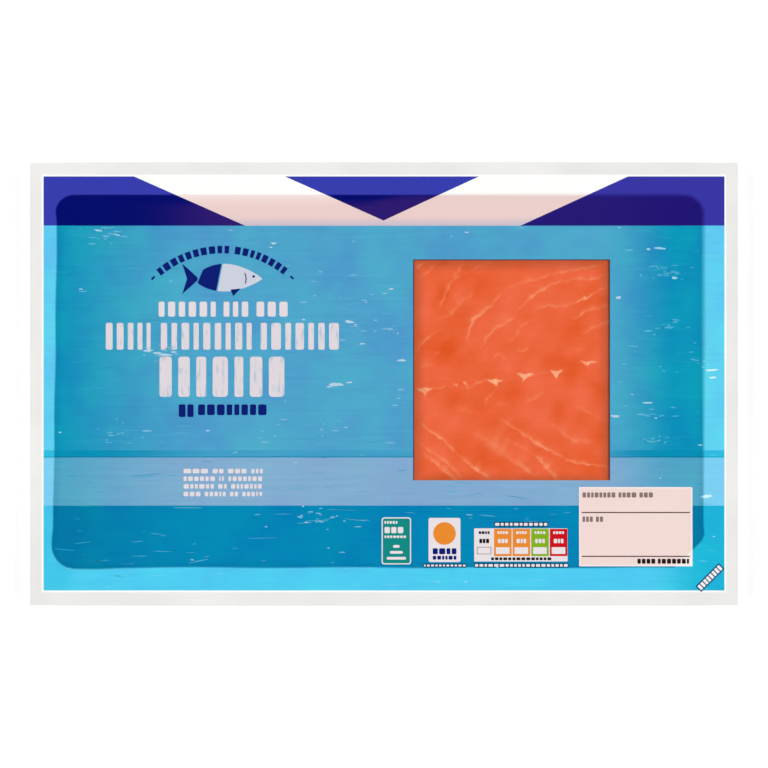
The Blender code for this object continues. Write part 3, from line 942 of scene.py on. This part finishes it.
outer_x = PRINT_X + UNDERPRINT
outer_top = PRINT_TOP + UNDERPRINT
outer_bottom = PRINT_BOTTOM - UNDERPRINT
lay("white_underprint_rim", [
    [(-outer_x, outer_bottom), (outer_x, outer_bottom), (PRINT_X, PRINT_BOTTOM), (-PRINT_X, PRINT_BOTTOM)],
    [(outer_x, outer_bottom), (outer_x, outer_top), (PRINT_X, PRINT_TOP), (PRINT_X, PRINT_BOTTOM)],
    [(outer_x, outer_top), (-outer_x, outer_top), (-PRINT_X, PRINT_TOP), (PRINT_X, PRINT_TOP)],
    [(-outer_x, outer_top), (-outer_x, outer_bottom), (-PRINT_X, PRINT_BOTTOM), (-PRINT_X, PRINT_TOP)],
], 0, white_ink)
lay("sky_blue_plank", around_window(SEAM_TOP, BAND_BOTTOM), 0, plank_blue, WINDOW_CUTS)
lay("plank_seam", around_window(SEAM_BOTTOM, SEAM_TOP), 0, seam_blue, WINDOW_CUTS)
lay("plank_seam_line", [
    box_outline(-PRINT_X, WINDOW_LEFT - 0.4, SEAM_BOTTOM, SEAM_BOTTOM + SEAM_LINE),
    box_outline(WINDOW_RIGHT + 0.4, PRINT_X, SEAM_BOTTOM, SEAM_BOTTOM + SEAM_LINE),
], 1, seam_dark)
lay("pale_plank", around_window(PALE_BOTTOM, SEAM_BOTTOM), 0, pale_blue, WINDOW_CUTS)
lay("deep_blue_plank", [box_outline(-PRINT_X, PRINT_X, PRINT_BOTTOM, PALE_BOTTOM)], 0, deep_blue)
print("print is", 2 * PRINT_X, "by", round(PRINT_TOP - PRINT_BOTTOM, 1), "mm")

# %% [markdown]
# The band is plain geometry: a navy field at each end with a slanting side, a navy triangle between them,
# and white in what is left. Each colour is cut to its own outline, so none lies over another.

# %% Band across the top
NAVY_LEFT = ((-93.1, PRINT_TOP), (-51.7, BAND_BOTTOM))
NAVY_MIDDLE = ((-36.9, PRINT_TOP), (35.4, PRINT_TOP), (-0.2, 60.9))
NAVY_RIGHT = ((90.9, PRINT_TOP), (50.8, BAND_BOTTOM))
lay("navy_band_fields", [
    [(-PRINT_X, BAND_BOTTOM), NAVY_LEFT[1], NAVY_LEFT[0], (-PRINT_X, PRINT_TOP)],
    [NAVY_MIDDLE[2], NAVY_MIDDLE[1], NAVY_MIDDLE[0]],
], 0, navy)
lay("violet_band_field", [
    [NAVY_RIGHT[1], (PRINT_X, BAND_BOTTOM), (PRINT_X, PRINT_TOP), NAVY_RIGHT[0]],
], 0, violet)
lay("white_band_fields", [
    [NAVY_LEFT[1], (NAVY_MIDDLE[2][0], BAND_BOTTOM), NAVY_MIDDLE[2], NAVY_MIDDLE[0], NAVY_LEFT[0]],
    [(NAVY_MIDDLE[2][0], BAND_BOTTOM), NAVY_RIGHT[1], NAVY_RIGHT[0], NAVY_MIDDLE[1], NAVY_MIDDLE[2]],
], 0, white_band_ink, cuts=([NAVY_MIDDLE[2][0]], []))
slant = math.atan2(PRINT_TOP - BAND_BOTTOM, NAVY_LEFT[1][0] - NAVY_LEFT[0][0])
print("the left navy field slants at", round(math.degrees(slant), 1), "degrees")

# %% [markdown]
# ## Shadow line and worn paint
#
# A dark line 0.35 mm wide frames the window on three sides, where ink ends and clear film begins: it is a
# painted shadow, the shadow that the print's edge casts on the fish. The planks are a picture of old paint,
# so pale flecks and dry strokes are scattered along them, all stretched along the wood. They could be spots
# in the planks' shader, but as small pieces they keep their ragged edges. Three sizes of mark are drawn at
# random from a fixed seed, and a few big ones that catch the eye are listed one by one.

# %% Painted shadow along the window's edge
EDGE_SHADOW = 0.35
# The window's dark line is painted shadow, laid as a dark brown-violet ink.
edge_shadow_ink = ink("painted_edge_shadow_ink", "#4b3d50", "#4b3d50", "#573a48", rim_shade=0.0)
lay("window_edge_shadow", [
    box_outline(WINDOW_LEFT - EDGE_SHADOW, WINDOW_LEFT, WINDOW_BOTTOM, WINDOW_TOP),
    box_outline(WINDOW_RIGHT, WINDOW_RIGHT + EDGE_SHADOW, WINDOW_BOTTOM, WINDOW_TOP),
    box_outline(WINDOW_LEFT - EDGE_SHADOW, WINDOW_RIGHT + EDGE_SHADOW, WINDOW_TOP, WINDOW_TOP + EDGE_SHADOW),
], 1, edge_shadow_ink)

# %% Paint flecks
LABEL = (72.7, 114.9, -67.9, -38.4)
GREEN_PANEL = (-0.9, 10.1, -67.2, -49.7)
WHITE_PANEL = (16.6, 28.5, -66.3, -49.9)
VALUES_PANEL = (33.6, 68.4, -66.1, -53.8)
WINDOW = (WINDOW_LEFT, WINDOW_RIGHT, WINDOW_BOTTOM, WINDOW_TOP)


def is_free(x, y, half_length, half_height):
    """True if a mark fits on the planks, clear of the window and of all that is printed over them."""
    past_side = abs(x) + half_length > PRINT_X - 0.3
    past_end = y - half_height < PRINT_BOTTOM + 0.3 or y + half_height > BAND_BOTTOM - 0.3
    if past_side or past_end:
        return False
    for left, right, bottom, top in (WINDOW, LABEL, GREEN_PANEL, WHITE_PANEL, VALUES_PANEL):
        beside = x + half_length < left - 0.5 or x - half_length > right + 0.5
        apart = y + half_height < bottom - 0.5 or y - half_height > top + 0.5
        if not (beside or apart):
            return False
    return True


def fleck(draw, x, y, half_length, half_height):
    """The ragged outline of one mark of paint, slightly tilted."""
    tilt = math.radians(draw.gauss(0, 5))
    points = []
    count = 9 if half_length < 2 else 13
    for i in range(count):
        turn = 2 * math.pi * (i + draw.uniform(-0.25, 0.25)) / count
        size = draw.uniform(0.55, 1.0)
        along = half_length * size * math.cos(turn)
        up = half_height * size * math.sin(turn)
        spot_x = x + along * math.cos(tilt) - up * math.sin(tilt)
        spot_y = y + along * math.sin(tilt) + up * math.cos(tilt)
        points.append((spot_x, spot_y))
    return points


def scatter(seed, count, lengths, heights, clusters=()):
    """Marks spread over the planks, and more of them round a few middles (x, y, spread, count)."""
    draw = random.Random(seed)
    marks = []

    def place_one(x, y):
        half_length = lengths[0] * (lengths[1] / lengths[0]) ** draw.random() / 2
        half_height = draw.uniform(*heights) / 2
        if is_free(x, y, half_length, half_height):
            marks.append(fleck(draw, x, y, half_length, half_height))

    for _ in range(count):
        place_one(draw.uniform(-PRINT_X, PRINT_X), draw.uniform(PRINT_BOTTOM, BAND_BOTTOM))
    for x, y, spread, number in clusters:
        for _ in range(number):
            place_one(draw.gauss(x, spread), draw.gauss(y, spread * 0.4))
    return marks


WORN_PLACES = (
    (-103.5, 56.4, 4.5, 22), (-84.0, 11.8, 4.0, 20), (-101.0, -20.0, 6.0, 10),
    (105.0, 42.0, 4.0, 22), (106.0, 22.0, 4.0, 10), (103.0, -21.0, 3.0, 10),
    (-4.0, 20.0, 6.0, 12), (-24.0, -50.5, 6.0, 12), (112.0, 8.0, 5.0, 8), (-18.0, 34.0, 8.0, 10),
    (6.0, -4.0, 3.0, 5), (-30.0, -15.0, 9.0, 10), (100.0, -10.0, 8.0, 8), (118.0, -43.0, 4.0, 8),
)
faint_paint = ink("thin_worn_paint", "#72d4ef", "#1ca0c3", "#5cadd0", rim_shade=0.0)
pale_paint = ink("pale_worn_paint", "#96dff4", "#4fb4d4", "#83bddb", rim_shade=0.0)
bright_paint = ink("bright_worn_paint", "#d2f1fa", "#9ad4e6", "#b6d0e4", rim_shade=0.0)
dark_paint = ink("dark_bare_wood", "#4fc2e2", "#058cb2", "#469cc4", rim_shade=0.0)
BRIGHT_FLECKS = (
    (102.6, 50.6, 2.6, 0.55), (98.6, 50.2, 0.9, 0.5), (108.2, 39.6, 1.6, 0.6), (87.4, 32.2, 1.3, 0.6),
    (121.8, 5.2, 3.0, 0.5), (122.5, 2.4, 1.8, 0.45), (86.2, -12.0, 2.0, 0.6), (98.4, -7.0, 2.4, 0.35),
    (-41.0, 52.4, 1.6, 0.5), (-106.2, 57.2, 2.0, 0.5), (-99.4, 55.6, 1.6, 0.4), (-13.0, 23.2, 2.2, 0.7),
    (2.6, 35.4, 1.2, 0.45), (-17.8, -0.2, 3.4, 0.8), (-13.0, 0.6, 1.6, 0.4), (-20.4, -1.0, 1.4, 0.4),
    (-30.0, 24.0, 1.0, 0.4), (6.4, 8.8, 2.0, 0.6),
    (120.0, -41.8, 3.0, 0.8), (-8.0, 15.0, 1.6, 0.4), (-81.0, 10.8, 3.4, 0.6), (-88.0, 12.4, 2.4, 0.6),
    (-84.4, 11.6, 2.2, 0.5), (-78.4, 11.9, 1.6, 0.4),
)
lay("thin_paint_strokes", scatter(11, 260, (1.5, 14.0), (0.18, 0.45), WORN_PLACES), 1, faint_paint)
lay("dark_wood_strokes", scatter(23, 150, (1.5, 16.0), (0.18, 0.42)), 1, dark_paint)
lay("pale_paint_flecks", scatter(37, 60, (0.8, 5.0), (0.3, 0.8), WORN_PLACES), 2, pale_paint)
bright_draw = random.Random(5)
bright_marks = [fleck(bright_draw, *mark) for mark in BRIGHT_FLECKS]
lay("bright_paint_flecks", bright_marks + scatter(41, 26, (0.8, 3.0), (0.3, 0.7)), 3, bright_paint)

# %% [markdown]
# ## Blocks in place of words
#
# A real pack carries words. This one is plain: each word's place holds a row of blank upright blocks of
# uneven width, in the ink that the words would have. A row keeps the weight and rhythm of the layout and
# says nothing. The large rows are worn like the planks: dry strokes let the blue through.

# %% Block helpers
def rounded_box(left, right, bottom, top, radius):
    """A box outline with round corners, anticlockwise."""
    points = []
    for x, y, start in ((right, top, 0), (left, top, 90), (left, bottom, 180), (right, bottom, 270)):
        centre_x = x - radius if x == right else x + radius
        centre_y = y - radius if y == top else y + radius
        points += arc(centre_x, centre_y, radius, start, start + 90, 4)
    return points


def word_blocks(left, right, bottom, top, count, gap, seed):
    """One word's place: upright blocks of uneven width between left and right."""
    draw = random.Random(seed)
    shares = [draw.uniform(0.7, 1.3) for _ in range(count)]
    room = (right - left - gap * (count - 1)) / sum(shares)
    outlines = []
    x = left
    for share in shares:
        radius = 0.22 * min(room * share, top - bottom)
        outlines.append(rounded_box(x, x + room * share, bottom, top, radius))
        x += room * share + gap
    return outlines


def arc_block(middle_x, middle_y, inner, outer, start, end):
    """A block bent round a circle, between two angles in degrees from straight up, clockwise."""
    steps = 4
    turns = [math.radians(start + (end - start) * i / steps) for i in range(steps + 1)]
    low = [(middle_x + inner * math.sin(a), middle_y + inner * math.cos(a)) for a in turns]
    high = [(middle_x + outer * math.sin(a), middle_y + outer * math.cos(a)) for a in turns]
    return low + high[::-1]


def worn_white():
    """White paint printed as if it had worn thin on the planks, with blue in the dry strokes."""
    material, tree, shader = new_material("worn_white_paint_ink", ior=1.48, specular_ior_level=0.04)
    place = node(tree, "TexCoord").outputs["Object"]
    upright = node(tree, "VectorMath", {0: place, 1: (1 / (1.1 * MM), 1 / (7 * MM), 0)},
                   operation="MULTIPLY")
    dry = node(tree, "TexNoise", {"Vector": upright.outputs[0], "Scale": 1.0, "Detail": 3.0,
                                  "Roughness": 0.6})
    worn = node(tree, "MapRange", {"Value": dry.outputs["Fac"], "From Min": 0.34, "From Max": 0.46,
                                   "To Min": 0.45, "To Max": 1.0})
    colour = node(tree, "Mix", {0: worn.outputs["Result"], 6: linear("#8fb6d2"), 7: linear("#dfd7dc")},
                  data_type="RGBA")
    tree.links.new(colour.outputs[2], shader.inputs["Base Color"])
    shader.inputs["Roughness"].default_value = 0.5
    return material


# %% Arc, title blocks and small lines
ARC_X = -60.1
ARC_Y = 12.8
ARC_OUTER = 38.7
ARC_INNER = 35.9
navy_text = ink("navy_text_ink", "#0b1f74", "#081a6c", "#0b1d72", rim_shade=0.0)
pale_text = ink("pale_text_ink", "#f2f0f0", "#e6e0e2", "#e2dade", rim_shade=0.0)


def bent_word(start, end, count, seed):
    """A word's place on the arc."""
    draw = random.Random(seed)
    shares = [draw.uniform(0.8, 1.2) for _ in range(count)]
    gap = 1.4
    room = (end - start - gap * (count - 1)) / sum(shares)
    outlines = []
    turn = start
    for share in shares:
        outlines.append(arc_block(ARC_X, ARC_Y, ARC_INNER, ARC_OUTER, turn, turn + room * share))
        turn += room * share + gap
    return outlines


arc_blocks = bent_word(-39.8, 3.6, 10, 1) + bent_word(7.0, 38.8, 8, 2)
arc_blocks.append(arc_block(ARC_X, ARC_Y, 36.9, 37.6, -45.4, -43.0))
arc_blocks.append(arc_block(ARC_X, ARC_Y, 36.9, 37.6, 42.6, 45.0))
lay("arc_blocks", arc_blocks, 2, navy_text)
first_row = word_blocks(-84.0, -62.7, 25.1, 30.7, 6, 1.3, 3)
first_row += word_blocks(-59.8, -50.6, 25.1, 30.7, 3, 1.3, 4)
first_row += word_blocks(-47.5, -35.9, 25.1, 30.7, 3, 1.3, 5)
lay("first_row_blocks", first_row, 2, pale_text)
worn = worn_white()
second_row = word_blocks(-103.7, -87.0, 12.8, 22.8, 5, 1.5, 6)
second_row += word_blocks(-83.2, -49.3, 12.8, 22.8, 9, 1.6, 7)
second_row += word_blocks(-46.0, -16.8, 12.8, 22.8, 7, 1.6, 8)
lay("second_row_blocks", second_row, 2, worn)
lay("title_blocks", word_blocks(-83.7, -37.1, -4.8, 10.2, 7, 2.4, 9), 2, worn)
lay("last_row_blocks", word_blocks(-76.5, -71.0, -12.3, -7.6, 2, 0.7, 10)
    + word_blocks(-69.3, -43.8, -11.6, -7.6, 8, 0.8, 12), 2, navy_text)
SMALL_ROWS = (((-74.7, -65.6, 3), (-63.9, -59.8, 2), (-58.2, -51.2, 3), (-49.4, -45.2, 3)),
              ((-74.7, -63.0, 6), (-61.4, -59.6, 2), (-58.0, -45.4, 7)),
              ((-74.7, -63.4, 6), (-61.8, -58.6, 2), (-57.0, -45.6, 7)),
              ((-74.7, -68.4, 3), (-66.8, -59.0, 5), (-57.4, -54.4, 2), (-52.8, -45.4, 5)))
small_blocks = []
for number, row in enumerate(SMALL_ROWS):
    top = -31.6 - 2.85 * number
    for start, end, count in row:
        small_blocks += word_blocks(start, end, top - 1.7, top, count, 0.5, 20 + number)
lay("small_row_blocks", small_blocks, 2, pale_text)

# %% [markdown]
# ## Fish sign
#
# Above the blocks is a sign for what is inside: a plain fish from the side. Its body is the space between
# two curves, its tail is two pointed lobes, and the rear of the body, the tail and one fin are navy.

# %% Fish sign
FISH_NOSE = -45.3
FISH_ROOT = -70.2
FISH_Y = 39.2


def body_half(x, bulge):
    """Half the body's height at x: rounder towards the head."""
    share = (x - FISH_ROOT) / (FISH_NOSE - FISH_ROOT)
    return bulge * math.sin(math.pi * share**0.85) ** 0.8 + 0.55 * (1 - share)


def body_part(start, end, slant, up=5.3, down=4.4, steps=12):
    """The part of the body between two places, with its upper end moved by slant."""
    def edge(low, high, bulge, side):
        spots = [low + (high - low) * i / steps for i in range(steps + 1)]
        return [(x, FISH_Y + side * body_half(x, bulge)) for x in spots]
    lower = edge(start, end, down, -1)
    upper = edge(min(start + slant, FISH_NOSE), min(end + slant, FISH_NOSE), up, 1)
    return lower + upper[::-1]


fish_cut = -62.6
fish_pale = ink("pale_fish_ink", "#e8eaf2", "#ccd2e0", "#cdd1df", rim_shade=0.0)
lay("fish_body", [body_part(fish_cut + 0.5, FISH_NOSE, 2.0)], 2, fish_pale)
tail = [(FISH_ROOT + 0.7, FISH_Y - 0.5), (FISH_ROOT + 0.7, FISH_Y + 0.5), (FISH_ROOT - 2.2, FISH_Y + 3.2),
        (-75.2, FISH_Y + 5.6), (-73.4, FISH_Y), (-75.2, FISH_Y - 5.6), (FISH_ROOT - 2.2, FISH_Y - 3.2)]
lay("fish_tail", [tail, body_part(FISH_ROOT + 0.7, fish_cut, 2.0)], 2, navy_text)
fin = [(-57.2, FISH_Y - 4.0), (-53.4, FISH_Y - 3.6), (-56.2, FISH_Y - 6.4)]
eye = arc(-48.6, FISH_Y + 0.9, 0.5, 0, 315, 8)
gill = arc_block(-56.0, FISH_Y, 4.4, 4.8, 62, 112)
lay("fish_details", [eye, gill], 3, navy_text)
lay("fish_fin", [fin], 3, navy_text)

# %% [markdown]
# ## Panels along the bottom
#
# The packer prints dates on a white panel with two rules. To its left are a panel of traffic-light
# colours for food values, and the places of two small marks, which here are a green panel and a white one
# with plain shapes. Everything is flat ink, built up from the panel outwards.

# %% Date panel
label_white = ink("date_panel_white_ink", "#f6ece8", "#f0dad5", "#f0d9d4", rim_shade=0.0)
label_edge = ink("date_panel_edge_ink", "#fbf3f0", "#f8ece8", "#f8e8e4", rim_shade=0.0)
rule_brown = ink("dark_rule_ink", "#5a4642", "#5a4642", "#5a4642", rim_shade=0.0)
grey_text = ink("grey_text_ink", "#8a7672", "#8a7672", "#8a7672", rim_shade=0.0)
black_text = ink("black_text_ink", "#241a1a", "#241a1a", "#241a1a", rim_shade=0.0)
label_left, label_right, label_bottom, label_top = LABEL
lay("date_panel_edge", [rounded_box(*LABEL, 0.3)], 2, label_edge)
LABEL_EDGE = 0.5
label_inner = rounded_box(label_left + LABEL_EDGE, label_right - LABEL_EDGE,
                          label_bottom + LABEL_EDGE, label_top - LABEL_EDGE, 0.2)
lay("date_panel", [label_inner], 3, label_white)
RULE = 0.42
rules = [box_outline(label_left + 1.0, label_right - 1.0, y, y + RULE) for y in (-48.1, -64.4)]
lay("date_panel_rules", rules, 4, rule_brown)
note = word_blocks(74.0, 86.2, -42.3, -40.4, 8, 0.4, 30) + word_blocks(87.4, 94.0, -42.3, -40.4, 4, 0.4, 31)
note += word_blocks(95.2, 100.2, -42.3, -40.4, 3, 0.4, 32)
note += word_blocks(74.0, 77.8, -51.4, -49.4, 3, 0.4, 33)
note += word_blocks(79.0, 81.6, -51.4, -49.4, 2, 0.4, 34)
lay("date_panel_notes", note, 4, grey_text)
lay("date_panel_bold_note", word_blocks(94.4, 101.0, -66.9, -65.1, 4, 0.4, 35)
    + word_blocks(102.0, 113.6, -66.9, -65.1, 7, 0.4, 36), 4, black_text)

# %% Food values panel
panel_white = ink("panel_white_ink", "#f2eef0", "#e8e0e3", "#e8e0e3", rim_shade=0.0)
amber = ink("amber_ink", "#f0943a", "#e88c30", "#e88c30", rim_shade=0.0)
leaf_green = ink("leaf_green_ink", "#8ebc22", "#86b01c", "#86b01c", rim_shade=0.0)
signal_red = ink("signal_red_ink", "#d8141f", "#cc101f", "#cc101f", rim_shade=0.0)
outline_dark = ink("dark_outline_ink", "#0b4a6e", "#0a4468", "#0a4468", rim_shade=0.0)
values_left, values_right, values_bottom, values_top = VALUES_PANEL
COLUMN_PITCH = 6.93
COLUMN_BOTTOM = -64.1
lay("values_panel", [rounded_box(*VALUES_PANEL, 0.3)], 2, panel_white)
column_left = [values_left + 0.35 + COLUMN_PITCH * i for i in range(5)]
COLUMN_COLOURS = (("amber", amber, (1, 2)), ("green", leaf_green, (3,)), ("red", signal_red, (4,)))
for name, colour, numbers in COLUMN_COLOURS:
    starts = [column_left[i] for i in numbers]
    fields = [box_outline(x + 0.15, x + 6.65, COLUMN_BOTTOM, values_top - 0.2) for x in starts]
    lay("values_" + name + "_fields", fields, 3, colour)
lozenges = [rounded_box(x + 0.8, x + 5.9, -63.3, -60.8, 0.15) for x in column_left[1:]]
lay("values_lozenges", lozenges, 4, panel_white)
white_marks = []
dark_marks = []
for i, x in enumerate(column_left):
    words = word_blocks(x + 1.4, x + 5.4, -55.9, -54.9, 4, 0.25, 40 + i)
    words += word_blocks(x + 1.6, x + 5.2, -59.3, -57.7, 3, 0.3, 50 + i)
    if i == 0:
        dark_marks += words
    else:
        white_marks += words
lay("values_white_blocks", white_marks, 4, panel_white)
dark_marks += word_blocks(39.9, 62.3, -65.6, -64.6, 14, 0.4, 60)
lay("values_dark_blocks", dark_marks, 4, black_text)
first = column_left[0]
frame_bars = [
    box_outline(first + 0.7, first + 6.0, -63.4, -63.2),
    box_outline(first + 0.7, first + 6.0, -60.9, -60.7),
    box_outline(first + 0.7, first + 0.9, -63.2, -60.9),
    box_outline(first + 5.8, first + 6.0, -63.2, -60.9),
]
lay("values_first_frame", frame_bars, 4, grey_text)

# %% Captions round the panels
captions = ((41.4, 60.8, -53.0, -51.6, 11), (33.9, 68.4, -68.2, -66.9, 20), (14.9, 30.4, -68.1, -67.1, 11))
caption_backs = []
for left, right, bottom, top, _ in captions:
    caption_backs.append(rounded_box(left - 0.3, right + 0.3, bottom - 0.25, top + 0.25, 0.3))
lay("caption_shadows", caption_backs, 2, outline_dark)
caption_blocks = []
for number, (left, right, bottom, top, count) in enumerate(captions):
    caption_blocks += word_blocks(left, right, bottom + 0.15, top - 0.15, count, 0.5, 70 + number)
lay("caption_blocks", caption_blocks, 3, panel_white)

# %% Green panel and white panel
panel_green = ink("teal_green_ink", "#1f9a93", "#128a84", "#128a84", rim_shade=0.0)
left, right, bottom, top = GREEN_PANEL
lay("green_panel_edge", [rounded_box(left, right, bottom, top, 1.0)], 2, panel_white)
lay("green_panel", [rounded_box(left + 0.45, right - 0.45, bottom + 0.45, top - 0.45, 0.7)], 3, panel_green)
green_marks = word_blocks(0.2, 5.0, -52.1, -51.1, 5, 0.3, 80)
green_marks += word_blocks(0.2, 7.2, -55.6, -53.3, 3, 0.5, 81)
green_marks += word_blocks(0.2, 8.2, -57.4, -56.5, 7, 0.3, 82)
green_marks += [rounded_box(1.0, 8.2, -65.4, -64.4, 0.4), rounded_box(2.2, 7.0, -63.2, -62.2, 0.4),
                rounded_box(3.4, 5.8, -61.0, -60.0, 0.4)]
lay("green_panel_blocks", green_marks, 4, panel_white)
left, right, bottom, top = WHITE_PANEL
middle = (left + right) / 2
lay("white_panel", [rounded_box(left, right, bottom, top, 0.7)], 2, panel_white)
lay("white_panel_disc", [arc(middle, -55.7, 4.2, 0, 350, 36)], 3, amber)
lay("white_panel_blocks", word_blocks(middle - 4.4, middle + 4.4, -63.4, -61.2, 4, 0.5, 83)
    + word_blocks(middle - 4.4, middle + 4.4, -65.4, -64.0, 6, 0.4, 84), 3, navy_text)

# %% Peel mark
PEEL_MIDDLE = (121.4, -72.1)


def turned_box(middle, along, half_length, half_height):
    """A box at 45 degrees, its middle moved along the slope."""
    c = math.sqrt(0.5)
    corners = box_outline(-half_length, half_length, -half_height, half_height)
    return [(middle[0] + c * (along + u) - c * v, middle[1] + c * (along + u) + c * v) for u, v in corners]


lay("peel_mark_edge", [turned_box(PEEL_MIDDLE, 0.0, 6.1, 1.5)], 2, outline_dark)
peel_blocks = [turned_box(PEEL_MIDDLE, -5.1 + 1.46 * i, 0.52, 1.05) for i in range(8)]
lay("peel_mark_blocks", peel_blocks, 3, panel_white)

# %% [markdown]
# ## The clear laminate film
#
# Over all the ink lies clear film, about a tenth of a millimetre of polyester and polyethylene. It is what
# shines: a thin sheet that lets nearly all light through and mirrors a little, more at a glancing angle.
# It is one closed sheet over the flange, the print and the fish. Vacuum leaves fine creases in it, mostly
# running in from the corners of the pocket, so they are part of its shape and not only of its shading.

# %% Film mesh
FILM_GAP = 0.05
FILM = 0.08
FILM_GRID = 1.5
CREASE = 0.05
# Each crease: its two ends in mm and its half width.
CREASES = (
    ((-118.6, 30.0), (-90.7, 47.9), 1.6),
    ((-116.0, 62.0), (-98.0, 46.0), 1.3),
    ((-112.0, 66.0), (-88.0, 57.0), 1.1),
    ((112.0, 63.0), (96.0, 49.0), 1.4),
    ((104.0, 66.5), (84.0, 60.0), 1.1),
    ((-116.0, -60.0), (-99.0, -46.0), 1.3),
    ((-108.0, -63.5), (-86.0, -56.0), 1.1),
    ((106.0, -60.0), (92.0, -52.0), 1.2),
    ((-20.0, -64.0), (-34.0, -52.0), 1.2),
    ((30.0, 66.0), (38.0, 55.0), 1.0),
)


def crease_height(x, y):
    """Raised creases in the film, in mm."""
    total = np.zeros(x.shape)
    for (start_x, start_y), (end_x, end_y), half_width in CREASES:
        way_x = end_x - start_x
        way_y = end_y - start_y
        share = ((x - start_x) * way_x + (y - start_y) * way_y) / (way_x**2 + way_y**2)
        share = np.clip(share, 0, 1)
        off = np.hypot(x - start_x - share * way_x, y - start_y - share * way_y)
        total = total + CREASE * np.exp(-((off / half_width) ** 2)) * np.sin(np.pi * share) ** 0.5
    return total


def make_film(material):
    builder = bmesh.new()
    x_lines = np.linspace(-pack_half_x, pack_half_x, round(2 * pack_half_x / FILM_GRID) + 1)
    y_lines = np.linspace(-pack_half_y, pack_half_y, round(2 * pack_half_y / FILM_GRID) + 1)
    x, y = np.meshgrid(x_lines, y_lines)
    height = lid_height(x, y) + FILM_GAP + crease_height(x, y)
    count_y, count_x = x.shape
    points = [
        [builder.verts.new((x[j, i], y[j, i], height[j, i])) for i in range(count_x)]
        for j in range(count_y)
    ]
    for low_row, high_row in zip(points, points[1:]):
        for i in range(len(low_row) - 1):
            builder.faces.new((low_row[i], low_row[i + 1], high_row[i + 1], high_row[i]))
    grown = bmesh.ops.extrude_face_region(builder, geom=builder.faces[:])["geom"]
    raised = [item for item in grown if isinstance(item, bmesh.types.BMVert)]
    bmesh.ops.translate(builder, vec=(0, 0, FILM), verts=raised)
    return add_piece("clear_laminate_film", builder, material)


def clear_laminate():
    material = bpy.data.materials.new("clear_laminate_film")
    material.use_nodes = True
    tree = material.node_tree
    tree.nodes.clear()
    mirror_share = node(tree, "Fresnel", {"IOR": 1.5}).outputs[0]
    behind = node(tree, "NewGeometry").outputs["Backfacing"]
    in_front = node(tree, "Math", {0: 1.0, 1: behind}, operation="SUBTRACT").outputs[0]
    mirror_share = node(tree, "Math", {0: mirror_share, 1: in_front}, operation="MULTIPLY").outputs[0]
    through = node(tree, "BsdfTransparent", {"Color": (1, 1, 1, 1)})
    shine = node(tree, "BsdfAnisotropic", {"Color": (1, 1, 1, 1), "Roughness": 0.12})
    both = node(tree, "MixShader", {0: mirror_share, 1: through.outputs[0], 2: shine.outputs[0]})
    node(tree, "OutputMaterial", {"Surface": both.outputs[0]})
    return material


film = make_film(clear_laminate())
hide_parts("lidding_film")
print("film faces", len(film.data.polygons))

# %% [markdown]
# ## Studio
#
# The pack lies on a white table. Two wide soft lamps stand at its left and right and shine across it,
# which is how flat glossy things are copied: nothing bright hangs overhead, so the film mirrors nothing
# back to the camera and the colours stay full. The surroundings are white at eye level and dark above for
# the same reason.

# %% Table, lamps and surroundings
def white_table():
    material, tree, shader = new_material("white_table", roughness=0.6)
    place = node(tree, "TexCoord").outputs["Object"]
    grain = node(tree, "TexNoise", {"Vector": place, "Scale": 1 / (60 * MM), "Detail": 2.0})
    tone = node(tree, "ValToRGB", {"Fac": grain.outputs["Fac"]})
    tone.color_ramp.elements[0].color = linear("#f2f2f2")
    tone.color_ramp.elements[1].color = linear("#f6f6f6")
    tree.links.new(tone.outputs["Color"], shader.inputs["Base Color"])
    shader.inputs["Emission Color"].default_value = (1, 1, 1, 1)
    shader.inputs["Emission Strength"].default_value = 0.22
    return material


TABLE_SIZE = 6.0
TABLE_GAP = 0.05 * MM
bpy.ops.mesh.primitive_plane_add(size=TABLE_SIZE, location=(0, 0, -TABLE_GAP))
table = bpy.context.object
table.name = "table"
table.data.materials.append(white_table())


def soft_lamp(name, side, power):
    """A square softbox to one side, aimed at the pack."""
    light = bpy.data.lights.new(name, "AREA")
    light.shape = "SQUARE"
    light.size = 1.3
    light.energy = power
    lamp = bpy.data.objects.new(name, light)
    lamp.location = (side * 1.25, 0.0, 1.15)
    lamp.rotation_euler = (0.0, side * math.atan2(1.25, 1.15), 0.0)
    bpy.context.scene.collection.objects.link(lamp)
    return lamp


soft_lamp("softbox_left", -1, 22.0)
soft_lamp("softbox_right", 1, 22.0)

world = bpy.data.worlds.new("studio")
bpy.context.scene.world = world
world.use_nodes = True
sky = world.node_tree
direction = node(sky, "TexCoord").outputs["Generated"]
up = node(sky, "SeparateXYZ", {0: direction}).outputs["Z"]
glow = node(sky, "MapRange", {"Value": up, "From Min": 0.1, "From Max": 0.8, "To Min": 0.9, "To Max": 0.0})
sky.links.new(glow.outputs["Result"], sky.nodes["Background"].inputs["Strength"])
sky.nodes["Background"].inputs["Color"].default_value = (1, 1, 1, 1)

# %% Camera
LENS = 200.0
SENSOR = 36.0
VIEW_WIDTH = 286.0 * MM
camera_data = bpy.data.cameras.new("camera")
camera_data.lens = LENS
camera_data.sensor_width = SENSOR
camera = bpy.data.objects.new("camera", camera_data)
camera.location = (0.0, 0.0, SEAL * MM + VIEW_WIDTH * LENS / SENSOR)
bpy.context.scene.collection.objects.link(camera)
bpy.context.scene.camera = camera
bpy.context.scene.view_settings.view_transform = "Standard"
print("the camera hangs", round(camera.location.z, 3), "m above the table")
